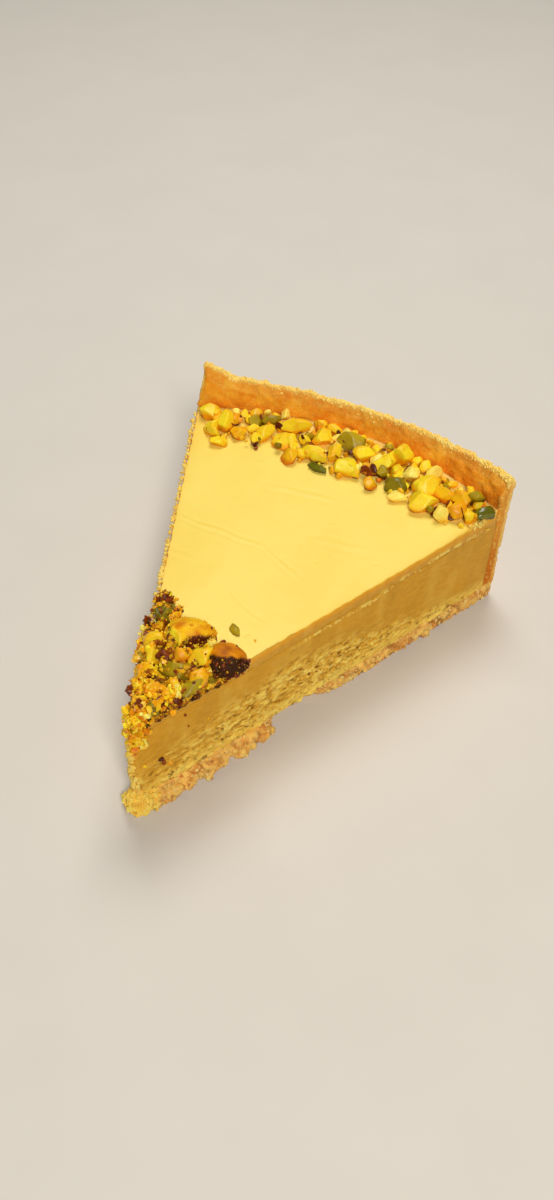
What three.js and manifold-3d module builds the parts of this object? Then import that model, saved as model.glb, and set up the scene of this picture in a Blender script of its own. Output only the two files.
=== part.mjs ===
// A slice of pistachio cheesecake: a crumbly shortcrust shell, a pistachio filling under a pale
// cream top, chopped pistachios along the rim and a heap of chopped and ground ones at the tip.
// Millimetres, +Z up. The slice's middle line runs along +Y from the tip to the rim.
import * as THREE from 'three';
import { mergeVertices } from 'three/addons/utils/BufferGeometryUtils.js';
import Module from 'manifold-3d';

const wasm = await Module();
wasm.setup();
const { degToRad, lerp, smoothstep } = THREE.MathUtils;

// Driving dimensions of the slice, about an eighth of a round 23 cm cake.
const cakeRadius = 115; // from the tip to the outer edge of the rim's top
const halfAngle = degToRad(23.65);
const rimBulge = 1.8; // how much the rim's middle stands out past an arc about the tip
const rimHeight = 38.3; // at the middle of the rim
const rimEndRise = 2.8; // the rim is this much higher at both of its ends
const creamLevel = 30.6;
const creamDepth = 3.5;
const baseDepth = 4.7;
const wallFoot = 3.6; // the wall's thickness where it meets the base
const wallTop = 4.3; // and at its top
const wallLean = Math.tan(degToRad(1.45)); // the wall leans outwards as it rises
const gap = 0.3; // between pieces that only touch
const cutRoom = 0.75; // what lies against the rough cuts keeps this far out of them

// How finely the slice's outline is stepped along each cut and round the arc.
const cutSteps = 25;
const arcSteps = 22;
const bluntTip = 1.2; // the cuts stop this far before they would meet

// The left end of the wall rises to a point and leans in over the slice.
const peakRise = 3.4;
const peakLength = 9;
const leftEndInset = 2.5;

// The wall's crumbly top, from its outer edge to its inner one: the share of the way across
// the wall and the height over the rim's top.
const crumblyTop = [[0, -1.3], [0.16, -0.2], [0.55, 0.1], [0.86, -0.4], [1, -1.6]];
const outsideHeights = [1.6, 9, 17, 25, 33];
const insideHeights = [36, 33, creamLevel + 1, creamLevel - 7, 14];
const wallStations = 46; // sections from the wall's left end to its right one

// Wear of the base along the right cut, measured from the tip: crumbs bulge out, then a
// stretch is broken away from below, then the edge runs straight again.
const crumbsEnd = 36;
const breakEnd = 60;
const crumbBulge = 1.4;
const breakDepth = 5;
const baseEnd = 112;

// Rows of crumbs along the base: the cut (1 right, -1 left), where the row starts and ends,
// the step, how far the crumbs stand out, their size, and how round they are.
const crumbRows = [
  { side: 1, from: 5, to: crumbsEnd + 2, step: 3.3, out: [-0.2, 1], size: [4.4, 6], detail: 1 },
  { side: 1, from: breakEnd, to: baseEnd, step: 5.8, out: [-0.5, 0.2], size: [2.6, 4], detail: 0 },
  { side: -1, from: 8, to: baseEnd, step: 7, out: [-0.6, 0.3], size: [2.6, 4], detail: 0 },
];

// The pale lump that has broken forward at the tip, and a piece of golden kernel beside it.
const tipLumps = [
  { sizes: [6.6, 7, 6.6], turn: 0.4, middle: new THREE.Vector3(-0.5, 1, 3.3) },
  { sizes: [4.4, 3.8, 4], turn: 0.2, middle: new THREE.Vector3(-5, 2.9, 2.1) },
];

// The filling's tip stands out to the left, and pale crumbs cling to it at these heights.
const tipBulge = 1.2;
const clingingCrumbs = [10.5, 13.5, 16.5, 19];

// The tip heap, measured from the tip.
const heapLength = 30;
const heapDepth = 2.2;
const heapOverhang = 1.9; // past the cuts at its far end
const tipOverhang = 0.9; // and at the tip
const heapCrumbs = 40;
const heapCrumbSize = [2.4, 3.8];
const dropDepth = 6.5; // how far its crumbs hang down over the tip
const dropReach = 6; // and how far along the cuts
const dropSizes = [3.2, 2.8, 3];

// The chopped pieces that show in the heap. Each has its middle across and along the slice
// from the tip, its rise over the cream, its length, its width and its turn.
const heapNuts = [
  [-2.6, 22.9, 4.6, 6.4, 5.2, 20],
  [5.8, 21.4, 4.2, 6.6, 5.6, 10],
  [1.7, 16.8, 4.0, 8.0, 4.2, 80],
  [6.6, 14.8, 2.2, 7.6, 3.8, 25],
  [6.4, 17.6, 3.0, 5.0, 4.2, 0],
  [0.7, 19.6, 5.2, 4.6, 3.6, 70],
  [-1.8, 18.0, 4.6, 4.2, 3.2, 40],
  [-4.8, 13.4, 2.6, 4.6, 4.0, 0],
  [-6.6, 21.4, 3.4, 5.2, 4.2, 60],
  [-5.2, 17.4, 3.4, 5.0, 4.4, 30],
  [-9.6, 29.8, 2.6, 5.8, 5.2, 0],
  [-11.6, 32.6, 2.2, 5.6, 4.8, 30],
  [-13.4, 35.2, 1.4, 4.6, 4.0, 20],
  [-7.8, 31.4, 2.8, 5.6, 2.4, 20],
];

// Chopped pistachios that are placed one by one along the rim. Each has its angle off the
// middle line, its distance from the tip, its length, width and height, the turn of its
// length from the middle line, and its rise over the cream where it lies on others.
const placedNuts = [
  [-20.7, 102.8, 4.9, 4.0, 3.2, 30, 0],
  [-18.9, 104.0, 6.8, 4.4, 4.4, 10, 0.4],
  [-21.6, 107.6, 5.4, 3.4, 4.0, 70, 0.6],
  [-18.7, 97.2, 5.4, 4.2, 1.9, 75, 0],
  [-16.3, 101.2, 5.4, 3.8, 3.2, 40, 0],
  [-14.4, 106.6, 4.8, 4.4, 3.4, 0, 0],
  [-12.4, 107.4, 5.2, 2.6, 2.6, 60, 1.2],
  [-12.5, 102.3, 6.2, 4.0, 3.4, 20, 0],
  [-8.4, 106.6, 7.6, 4.2, 3.8, 75, 0.8],
  [-9.5, 101.1, 5.8, 5.0, 3.6, 10, 0],
  [-7.1, 95.4, 5.0, 4.2, 3.6, 0, 0],
  [-4.4, 99.3, 6.9, 5.0, 4.0, 80, 0],
  [-2.1, 94.8, 6.3, 2.7, 2.2, 95, 0],
  [-4.2, 105.9, 5.4, 5.2, 4.4, 0, 0],
  [-1.1, 101.7, 5.2, 4.2, 3.4, 0, 0],
  [0.1, 106.8, 6.8, 6.0, 4.6, 60, 0.8],
  [2.3, 97.6, 6.4, 6.0, 4.8, 0, 0],
  [2.8, 104.4, 6.2, 4.4, 3.6, 80, 0.4],
  [5.1, 101.2, 6.8, 3.4, 2.6, 60, 0],
  [6.8, 104.3, 9.4, 4.3, 4.2, 25, 1.0],
  [6.8, 95.8, 3.8, 3.4, 3.4, 0, 0],
  [8.2, 107.6, 6.2, 4.6, 4.6, 15, 2.6],
  [10.2, 99.4, 6.2, 5.0, 3.6, 0, 0],
  [11.0, 104.2, 5.2, 4.0, 3.6, 80, 1.2],
  [11.8, 96.2, 5.6, 3.5, 1.8, 70, 0.4],
  [14.2, 103.2, 7.4, 5.4, 4.8, 20, 0.6],
  [15.3, 98.2, 8.4, 6.0, 4.6, 60, 0],
  [13.2, 107.6, 4.8, 4.0, 4.0, 0, 1.4],
  [16.6, 103.8, 6.4, 3.8, 3.6, 75, 1.0],
  [19.4, 105.8, 7.0, 5.0, 4.4, 40, 0.8],
  [20.4, 107.9, 5.2, 3.6, 3.6, 80, 2.0],
  [19.1, 98.6, 5.8, 4.2, 3.4, 0, 0],
  [20.1, 101.8, 5.0, 4.4, 4.0, 0, 0],
  [22.7, 106.4, 5.6, 5.0, 3.6, 20, 0],
];
const nutSink = 0.42; // a placed piece's middle lies this share of its height over the cream

// Smaller chopped pieces lie between them by a seeded rule.
const fillerSeed = 41;
const fillerCount = 30;
const fillerSize = [3.2, 5];
const fillerSink = 0.32;
const fillerRoom = 0.62; // how near they come to other pieces, as a share of their size
const fillerEnd = 22.4; // degrees off the middle line
const bandInner = [98, 95, 94.5, 95, 97]; // the band's inner edge, evenly from left to right
const bandOuter = 108.2;
const roundFrom = 6; // pieces longer than this have the rounder form

// Seeded draws from 0 to 1.
function makeDraw(seed) {
  const period = 2 ** 32;
  let state = seed;
  return () => {
    state = (state * 1664525 + 1013904223) % period;
    return state / period;
  };
}

// A smooth unevenness from about -1 to 1, with waves some millimetres long.
function uneven(u, v, shift) {
  const long = Math.sin(0.83 * u + shift) * Math.cos(0.71 * v + 2.1 * shift);
  const short = Math.sin(1.9 * u + 1.3 * v + 3.7 * shift);
  return 0.6 * long + 0.4 * short;
}

// A point at a distance from the tip and an angle off the middle line, to the right when positive.
function place(distance, angle, height) {
  return new THREE.Vector3(distance * Math.sin(angle), distance * Math.cos(angle), height);
}

// A point that stands out of the right cut (side 1) or the left one (side -1), square to it.
function outOfCut(s, side, out, height) {
  const outwards = new THREE.Vector3(side * Math.cos(halfAngle), -Math.sin(halfAngle), 0);
  return place(s, side * halfAngle, height).addScaledVector(outwards, out);
}

function topOfRim(angle) {
  const share = angle / halfAngle;
  const fromLeftEnd = (angle + halfAngle) * cakeRadius;
  const peak = peakRise * (1 - smoothstep(fromLeftEnd, 0, peakLength));
  return rimHeight + rimEndRise * share * share + peak;
}

function outerRadius(angle, height) {
  const share = angle / halfAngle;
  return cakeRadius + rimBulge * (1 - share * share) - wallLean * (rimHeight - height);
}

function wallThickness(height) {
  return lerp(wallFoot, wallTop, smoothstep(height, creamLevel - 8, rimHeight));
}

// A closed body through rings of equal point counts. The first and last rings are capped in
// the plane that flatten gives.
function loft(rings, flatten) {
  const count = rings[0].length;
  const positions = rings.flat().flatMap((point) => [point.x, point.y, point.z]);
  const faces = [];
  for (let ring = 0; ring < rings.length - 1; ring += 1) {
    for (let step = 0; step < count; step += 1) {
      const next = (step + 1) % count;
      const lower = ring * count;
      const upper = lower + count;
      faces.push(lower + step, lower + next, upper + next);
      faces.push(lower + step, upper + next, upper + step);
    }
  }
  const last = (rings.length - 1) * count;
  for (const [a, b, c] of THREE.ShapeUtils.triangulateShape(rings[0].map(flatten), [])) {
    faces.push(c, b, a);
  }
  for (const [a, b, c] of THREE.ShapeUtils.triangulateShape(rings.at(-1).map(flatten), [])) {
    faces.push(last + a, last + b, last + c);
  }
  const geometry = new THREE.BufferGeometry();
  geometry.setAttribute('position', new THREE.Float32BufferAttribute(positions, 3));
  geometry.setIndex(faces);
  return geometry;
}

const seenFromAbove = (point) => new THREE.Vector2(point.x, point.y);
const seenAlongRim = (point) => new THREE.Vector2(Math.hypot(point.x, point.y), point.z);

function toSolid(geometry) {
  const bare = geometry.clone();
  bare.deleteAttribute('normal');
  bare.deleteAttribute('uv');
  const merged = mergeVertices(bare, 1e-4);
  const vertProperties = Float32Array.from(merged.getAttribute('position').array);
  const triVerts = Uint32Array.from(merged.getIndex().array);
  return new wasm.Manifold(new wasm.Mesh({ numProp: 3, vertProperties, triVerts }));
}

// Joins pieces into one body: sealed hollows are filled and loose scraps are dropped.
function fuse(pieces) {
  const joined = pieces.reduce((whole, piece) => whole.add(piece));
  const bodies = joined.decompose().sort((a, b) => b.volume() - a.volume());
  return bodies[0];
}

function toMesh(name, solid, look) {
  const { vertProperties, triVerts } = solid.getMesh();
  const geometry = new THREE.BufferGeometry();
  geometry.setAttribute('position', new THREE.Float32BufferAttribute(vertProperties, 3));
  geometry.setIndex(Array.from(triVerts));
  geometry.computeVertexNormals();
  const mesh = new THREE.Mesh(geometry, new THREE.MeshStandardMaterial(look));
  mesh.name = name;
  return mesh;
}

// A slice-shaped outline at one height, anticlockwise from the tip along the right cut, round
// the arc and back along the left cut. The cuts move out by right(s, height) and left(s, height),
// where s is the distance from the tip, and the arc has the given radius(angle, height).
function sliceOutline(height, { right, left, radius }) {
  const cut = (side, move) => {
    const reach = radius(side * halfAngle, height);
    return Array.from({ length: cutSteps }, (_, i) => {
      const s = lerp(bluntTip, reach, i / (cutSteps - 1));
      return outOfCut(s, side, move(s, height), height);
    });
  };
  const arc = Array.from({ length: arcSteps - 1 }, (_, i) => {
    const angle = lerp(halfAngle, -halfAngle, (i + 1) / arcSteps);
    return place(radius(angle, height), angle, height);
  });
  return [...cut(1, right), ...arc, ...cut(-1, left).reverse()];
}

// The outline with plain straight cuts, moved out by an even amount.
function plainOutline(height, grow, radius) {
  const even = () => grow;
  return sliceOutline(height, { right: even, left: even, radius });
}

const insideWall = (angle, height) => outerRadius(angle, height) - wallThickness(height) - gap;

// An uneven lump with its middle at the origin.
function lump(draw, [length, width, height], detail) {
  const geometry = mergeVertices(bareIcosahedron(detail), 1e-4);
  const position = geometry.getAttribute('position');
  const point = new THREE.Vector3();
  for (let i = 0; i < position.count; i += 1) {
    point.fromBufferAttribute(position, i).multiplyScalar(lerp(0.86, 1.12, draw()));
    position.setXYZ(i, (point.x * width) / 2, (point.y * length) / 2, (point.z * height) / 2);
  }
  return geometry;
}

function bareIcosahedron(detail) {
  const geometry = new THREE.IcosahedronGeometry(1, detail);
  geometry.deleteAttribute('normal');
  geometry.deleteAttribute('uv');
  return geometry;
}

// A piece of chopped kernel: a rounded form with flat faces where the knife went through.
function choppedNut(draw, [length, width, height], detail) {
  const geometry = mergeVertices(bareIcosahedron(detail), 1e-4);
  const position = geometry.getAttribute('position');
  const knifeCuts = Array.from({ length: 3 }, () => {
    const turn = draw() * 2 * Math.PI;
    const tilt = lerp(-0.9, 0.9, draw());
    const normal = new THREE.Vector3(Math.cos(turn), Math.sin(turn), tilt).normalize();
    return { normal, depth: lerp(0.66, 0.92, draw()) };
  });
  const point = new THREE.Vector3();
  for (let i = 0; i < position.count; i += 1) {
    point.fromBufferAttribute(position, i).multiplyScalar(lerp(1, 1.12, draw()));
    for (const { normal, depth } of knifeCuts) {
      const past = Math.max(0, point.dot(normal) - depth);
      point.addScaledVector(normal, -past);
    }
    position.setXYZ(i, (point.x * width) / 2, (point.y * length) / 2, (point.z * height) / 2);
  }
  return geometry;
}

function turned(geometry, turn, tilt, middle) {
  return geometry.rotateX(tilt).rotateZ(turn).translate(middle.x, middle.y, middle.z);
}

// The shell: a base under the filling and a wall round the rim, in one piece, with the
// crumbs that stand out of it.
function makeCrust() {
  const crumbs = baseCrumbs().map((crumb) => toSolid(crumb).subtract(roomOfCuts(creamLevel)));
  return fuse([toSolid(rimWall()), toSolid(baseSlab()), ...crumbs]);
}

// The room that the filling and the cream take up between the cuts, with a little air.
function roomOfCuts(top) {
  return toSolid(loft([
    plainOutline(baseDepth, cutRoom, insideWall),
    plainOutline(top, cutRoom, insideWall),
  ], seenFromAbove));
}

function rimWall() {
  const draw = makeDraw(3);
  const shares = Array.from({ length: wallStations }, (_, i) => i / (wallStations - 1));
  return loft(shares.map((share) => wallSection(share, draw)), seenAlongRim);
}

// The wall's section at a share of the way from its left end to its right one: up the outside,
// over the crumbly top and down the inside.
function wallSection(share, draw) {
  const angle = lerp(-halfAngle, halfAngle, share);
  const arc = angle * cakeRadius;
  const top = topOfRim(angle) + 0.4 * uneven(arc, 0, 1);
  const outside = outsideHeights.map((height) => [0, height]);
  const inside = insideHeights.map((height) => [1, height]);
  const crumbly = crumblyTop.map(([across, rise]) => (
    [across + lerp(-0.07, 0.07, draw()), top + rise + lerp(-0.35, 0.35, draw())]
  ));
  const path = [[0.25, 0], ...outside, ...crumbly, ...inside, [1, 0]];
  return path.map(([across, height]) => {
    const rough = height === 0 ? 0 : 0.3 * uneven(arc, height * 1.7, 2 + Math.round(across));
    const radius = outerRadius(angle, height) - across * wallThickness(height) + rough;
    const lean = leftEndInset * smoothstep(height, creamLevel, rimHeight) * (1 - share);
    const endRough = share === 0 || share === 1 ? 0.4 * uneven(height, across * 5, 4) : 0;
    return place(radius, angle + (lean + endRough) / cakeRadius, height);
  });
}

// How far the base stands out of the right cut, at a distance from the tip and a height.
function rightWear(s, height) {
  const deep = height / baseDepth;
  const bulge = crumbBulge * Math.sin(Math.PI * Math.min(1, 0.25 + 0.6 * deep));
  const broken = -breakDepth * (1 - 0.75 * deep);
  const inBreak = smoothstep(s, crumbsEnd, crumbsEnd + 5) * (1 - smoothstep(s, breakEnd - 14, breakEnd));
  const calm = 1 - smoothstep(s, crumbsEnd, crumbsEnd + 4);
  return lerp(lerp(0.6, bulge, calm), broken, inBreak) + 0.6 * uneven(s, height * 2, 5);
}

function leftWear(s, height) {
  return 0.3 + 0.55 * uneven(s, height * 2, 6);
}

function baseSlab() {
  const radius = (angle, height) => outerRadius(angle, height) - 0.4 * wallFoot;
  const levels = [0, 1.5, 3.2, baseDepth];
  return loft(levels.map((height) => {
    const flatter = height === 0 || height === baseDepth ? 0.4 : 0;
    const right = (s) => rightWear(s, height) - flatter;
    const left = (s) => leftWear(s, height) - flatter;
    return sliceOutline(height, { right, left, radius });
  }), seenFromAbove);
}

// Crumbs of the base: rows of lumps along the cuts, and the loose-looking ones at the tip.
function baseCrumbs() {
  const draw = makeDraw(7);
  const crumbs = [];
  for (const { side, from, to, step, out, size, detail } of crumbRows) {
    for (let s = from; s < to; s += step) {
      const standsOut = lerp(out[0], out[1], draw());
      const width = lerp(size[0], size[1], draw());
      const sizes = [width * lerp(1, 1.5, draw()), width, width * lerp(0.7, 0.95, draw())];
      const low = sizes[2] * 0.4;
      const high = Math.max(low, baseDepth - sizes[2] * 0.3);
      const middle = outOfCut(s, side, standsOut, lerp(low, high, draw()));
      const turn = -side * halfAngle + lerp(-0.5, 0.5, draw());
      crumbs.push(turned(lump(draw, sizes, detail), turn, 0, middle));
    }
  }
  for (const { sizes, turn, middle } of tipLumps) {
    crumbs.push(turned(lump(draw, sizes, 1), turn, 0, middle));
  }
  return crumbs.map(offFloor);
}

// Flattens whatever would reach below the floor.
function offFloor(geometry) {
  const position = geometry.getAttribute('position');
  for (let i = 0; i < position.count; i += 1) {
    position.setZ(i, Math.max(0, position.getZ(i)));
  }
  return geometry;
}

// The filling, from the base to the cream, with the drag of the knife on its cuts and the
// crumbs that cling to its tip.
function makeFilling() {
  const levels = [baseDepth + gap, 7.5, 11, 15, 19, 23, creamLevel - creamDepth - gap];
  const drag = (s, height) => {
    const calm = 1 - smoothstep(s, cakeRadius - 15, cakeRadius - 8);
    return calm * (0.22 * uneven(0.4 * s, 2.3 * height, 8) - 0.1);
  };
  const bulge = (s, height) => {
    const share = smoothstep(height, 7, 11) * (1 - smoothstep(height, 18, 22));
    return tipBulge * share * (1 - smoothstep(s, 3, 10));
  };
  const left = (s, height) => drag(s + 40, height) + bulge(s, height);
  const body = toSolid(loft(levels.map((height) => (
    sliceOutline(height, { right: drag, left, radius: insideWall })
  )), seenFromAbove));
  const draw = makeDraw(17);
  const crumbs = clingingCrumbs.map((height) => {
    const middle = outOfCut(lerp(1.4, 4, draw()), -1, lerp(0, 0.6, draw()), height);
    return toSolid(turned(lump(draw, [3.6, 3, 4.2], 0), draw(), 0, middle));
  });
  return fuse([body, ...crumbs]);
}

// The cream top with the chopped pistachios that lie on it.
function makeCreamTop() {
  const foot = creamLevel - creamDepth;
  const edge = (s, height) => 0.12 * uneven(s, height, 9);
  const teeth = (s) => 0.35 * Math.max(0, uneven(2.4 * s, 0, 10));
  const outlineAt = (height, inset) => sliceOutline(height, {
    right: (s) => edge(s, height) - inset,
    left: (s) => edge(s, height) + teeth(s) - inset,
    radius: insideWall,
  });
  const slab = toSolid(loft([
    outlineAt(foot, 0),
    outlineAt(foot + 1.7, 0),
    outlineAt(creamLevel - 0.5, 0),
    outlineAt(creamLevel, 0.4),
  ], seenFromAbove));
  const aboveCream = toSolid(loft([
    plainOutline(creamLevel - 1, 2, insideWall),
    plainOutline(creamLevel + 12, 2, insideWall),
  ], seenFromAbove));
  const nuts = rimNuts().map((nut) => toSolid(nut).intersect(aboveCream));
  return fuse([slab, ...nuts]);
}

function rimNuts() {
  const draw = makeDraw(fillerSeed);
  const spots = placedNuts.map(([degrees, distance, length, width, height, turn, rise]) => ({
    middle: place(distance, degToRad(degrees), creamLevel + rise + height * nutSink),
    sizes: [length, width, height],
    turn: degToRad(-degrees - turn),
    detail: length > roundFrom ? 1 : 0,
  }));
  let placed = 0;
  while (placed < fillerCount) {
    const share = draw();
    const across = draw();
    const size = lerp(fillerSize[0], fillerSize[1], draw());
    const inner = bandInner[Math.floor(share * bandInner.length)];
    const distance = lerp(inner, bandOuter, Math.sqrt(across));
    const angle = degToRad(lerp(-fillerEnd, fillerEnd, share ** 0.8));
    const middle = place(distance, angle, creamLevel + size * fillerSink);
    const spot = seenFromAbove(middle);
    const near = spots.some((other) => seenFromAbove(other.middle).distanceTo(spot) < size * fillerRoom);
    if (!near) {
      const sizes = [size, size * lerp(0.7, 0.9, draw()), size * lerp(0.6, 0.85, draw())];
      spots.push({ middle, sizes, turn: draw() * Math.PI, detail: 0 });
      placed += 1;
    }
  }
  return spots.map(({ middle, sizes, turn, detail }) => (
    turned(choppedNut(draw, sizes, detail), turn, lerp(-0.25, 0.25, draw()), middle)
  ));
}

// Two kernels lie whole in the tip heap: one golden, one still in its brown skin.
const kernels = [
  {
    name: 'golden_kernel',
    sizes: [11, 7.8, 6.6],
    middle: new THREE.Vector3(-1, 26.9, creamLevel + 3.9),
    turn: degToRad(-62),
    look: { color: 0xe9a02c, roughness: 0.45, metalness: 0 },
  },
  {
    name: 'brown_kernel',
    sizes: [9.4, 7.6, 7],
    middle: new THREE.Vector3(10.2, 24, creamLevel + 3.7),
    turn: degToRad(-70),
    look: { color: 0x7a3a1c, roughness: 0.5, metalness: 0 },
  },
];

function kernelForm({ sizes, middle, turn }, grow) {
  const geometry = mergeVertices(bareIcosahedron(2), 1e-4);
  const position = geometry.getAttribute('position');
  const [length, width, height] = sizes.map((size) => size / 2 + grow);
  for (let i = 0; i < position.count; i += 1) {
    const along = position.getY(i);
    const taper = 1 - 0.18 * along;
    position.setXYZ(i, position.getX(i) * width * taper, along * length, position.getZ(i) * height * taper);
  }
  return toSolid(turned(geometry, turn, 0, middle));
}

// The heap at the tip: ground pistachio out to its uneven outline, with the chopped pieces
// that show in it.
function makeTipHeap() {
  const draw = makeDraw(23);
  const pieces = [toSolid(heapCore())];
  const addPiece = (x, y, rise, sizes, turn, detail) => {
    const middle = new THREE.Vector3(x, y, creamLevel + rise);
    pieces.push(toSolid(turned(choppedNut(draw, sizes, detail), degToRad(turn), 0.3 * draw(), middle)));
  };
  for (const [x, y, rise, length, width, turn] of heapNuts) {
    addPiece(x, y, rise, [length, width, width * 0.95], -turn, 1);
  }
  for (let crumb = 0; crumb < heapCrumbs; crumb += 1) {
    const s = lerp(0.5, 0.9 * heapLength, draw() ** 0.7);
    const across = lerp(-1.08, 1, draw());
    const size = lerp(heapCrumbSize[0], heapCrumbSize[1], draw());
    const x = s * Math.tan(halfAngle) * across;
    addPiece(x, s, heapDepth * lerp(0.5, 1.1, draw()), [size, size, size * 0.8], 180 * draw(), 0);
  }
  for (let drop = 0.2; drop < 1; drop += 0.11) {
    const side = draw() < 0.7 ? 1 : -1;
    const s = lerp(0.6, dropReach * (1.1 - drop), draw());
    const { x, y } = outOfCut(s, side, lerp(0.3, 0.9, draw()), 0);
    addPiece(x, y, -drop * dropDepth, dropSizes, 0, 0);
  }
  const clearOf = [roomOfCuts(creamLevel + gap), ...kernels.map((kernel) => kernelForm(kernel, gap))];
  return fuse([clearOf.reduce((rest, room) => rest.subtract(room), fuse(pieces))]);
}

function heapCore() {
  const steps = 14;
  const middle = heapLength * 0.42;
  const ring = (height, spread) => {
    const points = [];
    for (let i = 0; i < 2 * steps; i += 1) {
      const side = i < steps ? 1 : -1;
      const share = i < steps ? i / steps : 2 - i / steps;
      const reach = side > 0 ? heapLength * 0.9 : heapLength;
      const s = lerp(0, reach, share);
      const past = lerp(tipOverhang, heapOverhang, share) * (0.8 + 0.4 * uneven(s, height, 12 + side));
      const x = side * (s * Math.tan(halfAngle) + past) * spread;
      const y = lerp(middle, s - past, spread);
      points.push(new THREE.Vector3(x, y, height));
    }
    return points;
  };
  return loft([
    ring(creamLevel - 1.2, 0.96),
    ring(creamLevel + 0.6, 1),
    ring(creamLevel + heapDepth * 0.7, 0.86),
    ring(creamLevel + heapDepth, 0.62),
  ], seenFromAbove);
}

const cheesecakeSlice = new THREE.Group();
cheesecakeSlice.add(
  toMesh('crust', makeCrust(), { color: 0xe3ad5c, roughness: 0.85, metalness: 0 }),
  toMesh('filling', makeFilling(), { color: 0xc09a3a, roughness: 0.6, metalness: 0 }),
  toMesh('cream_top', makeCreamTop(), { color: 0xf3dc76, roughness: 0.5, metalness: 0 }),
  toMesh('tip_heap', makeTipHeap(), { color: 0xd9b52a, roughness: 0.7, metalness: 0 }),
  ...kernels.map((kernel) => toMesh(kernel.name, kernelForm(kernel, 0), kernel.look)),
);

// The origin is the middle of the slice's box, on the surface that it stands on.
const boxMiddle = new THREE.Box3().setFromObject(cheesecakeSlice).getCenter(new THREE.Vector3());
cheesecakeSlice.position.set(-boxMiddle.x, -boxMiddle.y, 0);

export default cheesecakeSlice;
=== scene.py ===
import bpy
import bmesh
import math
import numpy as np
from mathutils import Matrix, Vector


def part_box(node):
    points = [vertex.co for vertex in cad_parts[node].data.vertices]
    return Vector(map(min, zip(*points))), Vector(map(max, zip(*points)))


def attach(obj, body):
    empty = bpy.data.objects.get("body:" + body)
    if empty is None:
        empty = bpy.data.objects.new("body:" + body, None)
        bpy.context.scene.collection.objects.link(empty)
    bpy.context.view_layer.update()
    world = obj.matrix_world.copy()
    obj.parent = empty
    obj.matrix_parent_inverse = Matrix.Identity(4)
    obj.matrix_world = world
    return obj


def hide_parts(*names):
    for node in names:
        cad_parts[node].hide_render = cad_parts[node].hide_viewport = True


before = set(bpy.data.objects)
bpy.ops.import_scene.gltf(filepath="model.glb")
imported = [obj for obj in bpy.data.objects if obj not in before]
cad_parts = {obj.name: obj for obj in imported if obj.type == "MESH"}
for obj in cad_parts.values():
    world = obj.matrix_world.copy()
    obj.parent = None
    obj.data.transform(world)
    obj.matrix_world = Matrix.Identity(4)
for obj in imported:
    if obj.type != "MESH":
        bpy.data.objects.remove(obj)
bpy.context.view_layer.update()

# The slice is worked out in millimetres from its tip, with +Y to the middle of the rim.
mm = 0.001
cake = {
    "radius": 115, "halfAngle": math.radians(23.65), "rimBulge": 1.8, "rimHeight": 38.3, "rimEndRise": 2.8,
    "peakRise": 3.4, "peakLength": 9,  # the peak at the rim's left end
    "creamLevel": 30.6, "creamDepth": 3.5, "baseDepth": 4.7, "bluntTip": 1.2, "gap": 0.3,
    "wallFoot": 3.6, "wallTop": 4.3, "wallLean": math.tan(math.radians(1.45)),
    "wallThickensFrom": 8,  # this far below the cream
    "widestLevel": 23,  # where the filling reaches furthest out
}
halfAngle = cake["halfAngle"]
creamLevel = cake["creamLevel"]
baseDepth = cake["baseDepth"]
seamLevel = creamLevel - cake["creamDepth"] - cake["gap"] / 2  # where the cream meets the filling


def lerp(low, high, share):
    return low + (high - low) * share


def smoothstep(value, low, high):
    share = np.clip((value - low) / (high - low), 0, 1)
    return share * share * (3 - 2 * share)


# How far a value has come through a band that is given from a start, from 0 to 1.
def fade(value, band, start=0):
    return smoothstep(value, start + band[0], start + band[1])


# Seeded draws from 0 to 1, the same as those of the solids.
def makeDraw(seed):
    state = seed

    def draw():
        nonlocal state
        state = (state * 1664525 + 1013904223) % 2 ** 32
        return state / 2 ** 32
    return draw


# Long and short waves that cross, from -1 to 1.
def uneven(u, v, shift):
    long = np.sin(0.83 * u + shift) * np.cos(0.71 * v + 2.1 * shift)
    short = np.sin(1.9 * u + 1.3 * v + 3.7 * shift)
    return 0.6 * long + 0.4 * short


def topOfRim(angle):
    fromLeftEnd = (angle + halfAngle) * cake["radius"]
    peak = cake["peakRise"] * (1 - smoothstep(fromLeftEnd, 0, cake["peakLength"]))
    return cake["rimHeight"] + cake["rimEndRise"] * (angle / halfAngle) ** 2 + peak


def outerRadius(angle, height):
    bulge = cake["rimBulge"] * (1 - (angle / halfAngle) ** 2)
    return cake["radius"] + bulge - cake["wallLean"] * (cake["rimHeight"] - height)


def wallThickness(height):
    upwards = smoothstep(height, creamLevel - cake["wallThickensFrom"], cake["rimHeight"])
    return lerp(cake["wallFoot"], cake["wallTop"], upwards)


def insideWall(angle, height):
    return outerRadius(angle, height) - wallThickness(height) - cake["gap"]


# Points at a distance from the tip and an angle off the middle line.
def place(distance, angle, height):
    distance, angle, height = np.broadcast_arrays(distance, angle, height)
    return np.stack([distance * np.sin(angle), distance * np.cos(angle), height], -1).astype(float)


# The way out of the right cut (side 1) or the left one (side -1).
def outwardsOf(side):
    side = np.asarray(side, float)
    return np.stack([side * math.cos(halfAngle), np.full_like(side, -math.sin(halfAngle)), 0 * side], -1)


def outOfCut(s, side, out, height):
    return place(s, side * halfAngle, height) + np.asarray(out)[..., None] * outwardsOf(side)


lowest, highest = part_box("filling")
tip = np.array([
    (lowest[0] + highest[0]) / 2 / mm, highest[1] / mm - insideWall(0, cake["widestLevel"]), 0,
])


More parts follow.
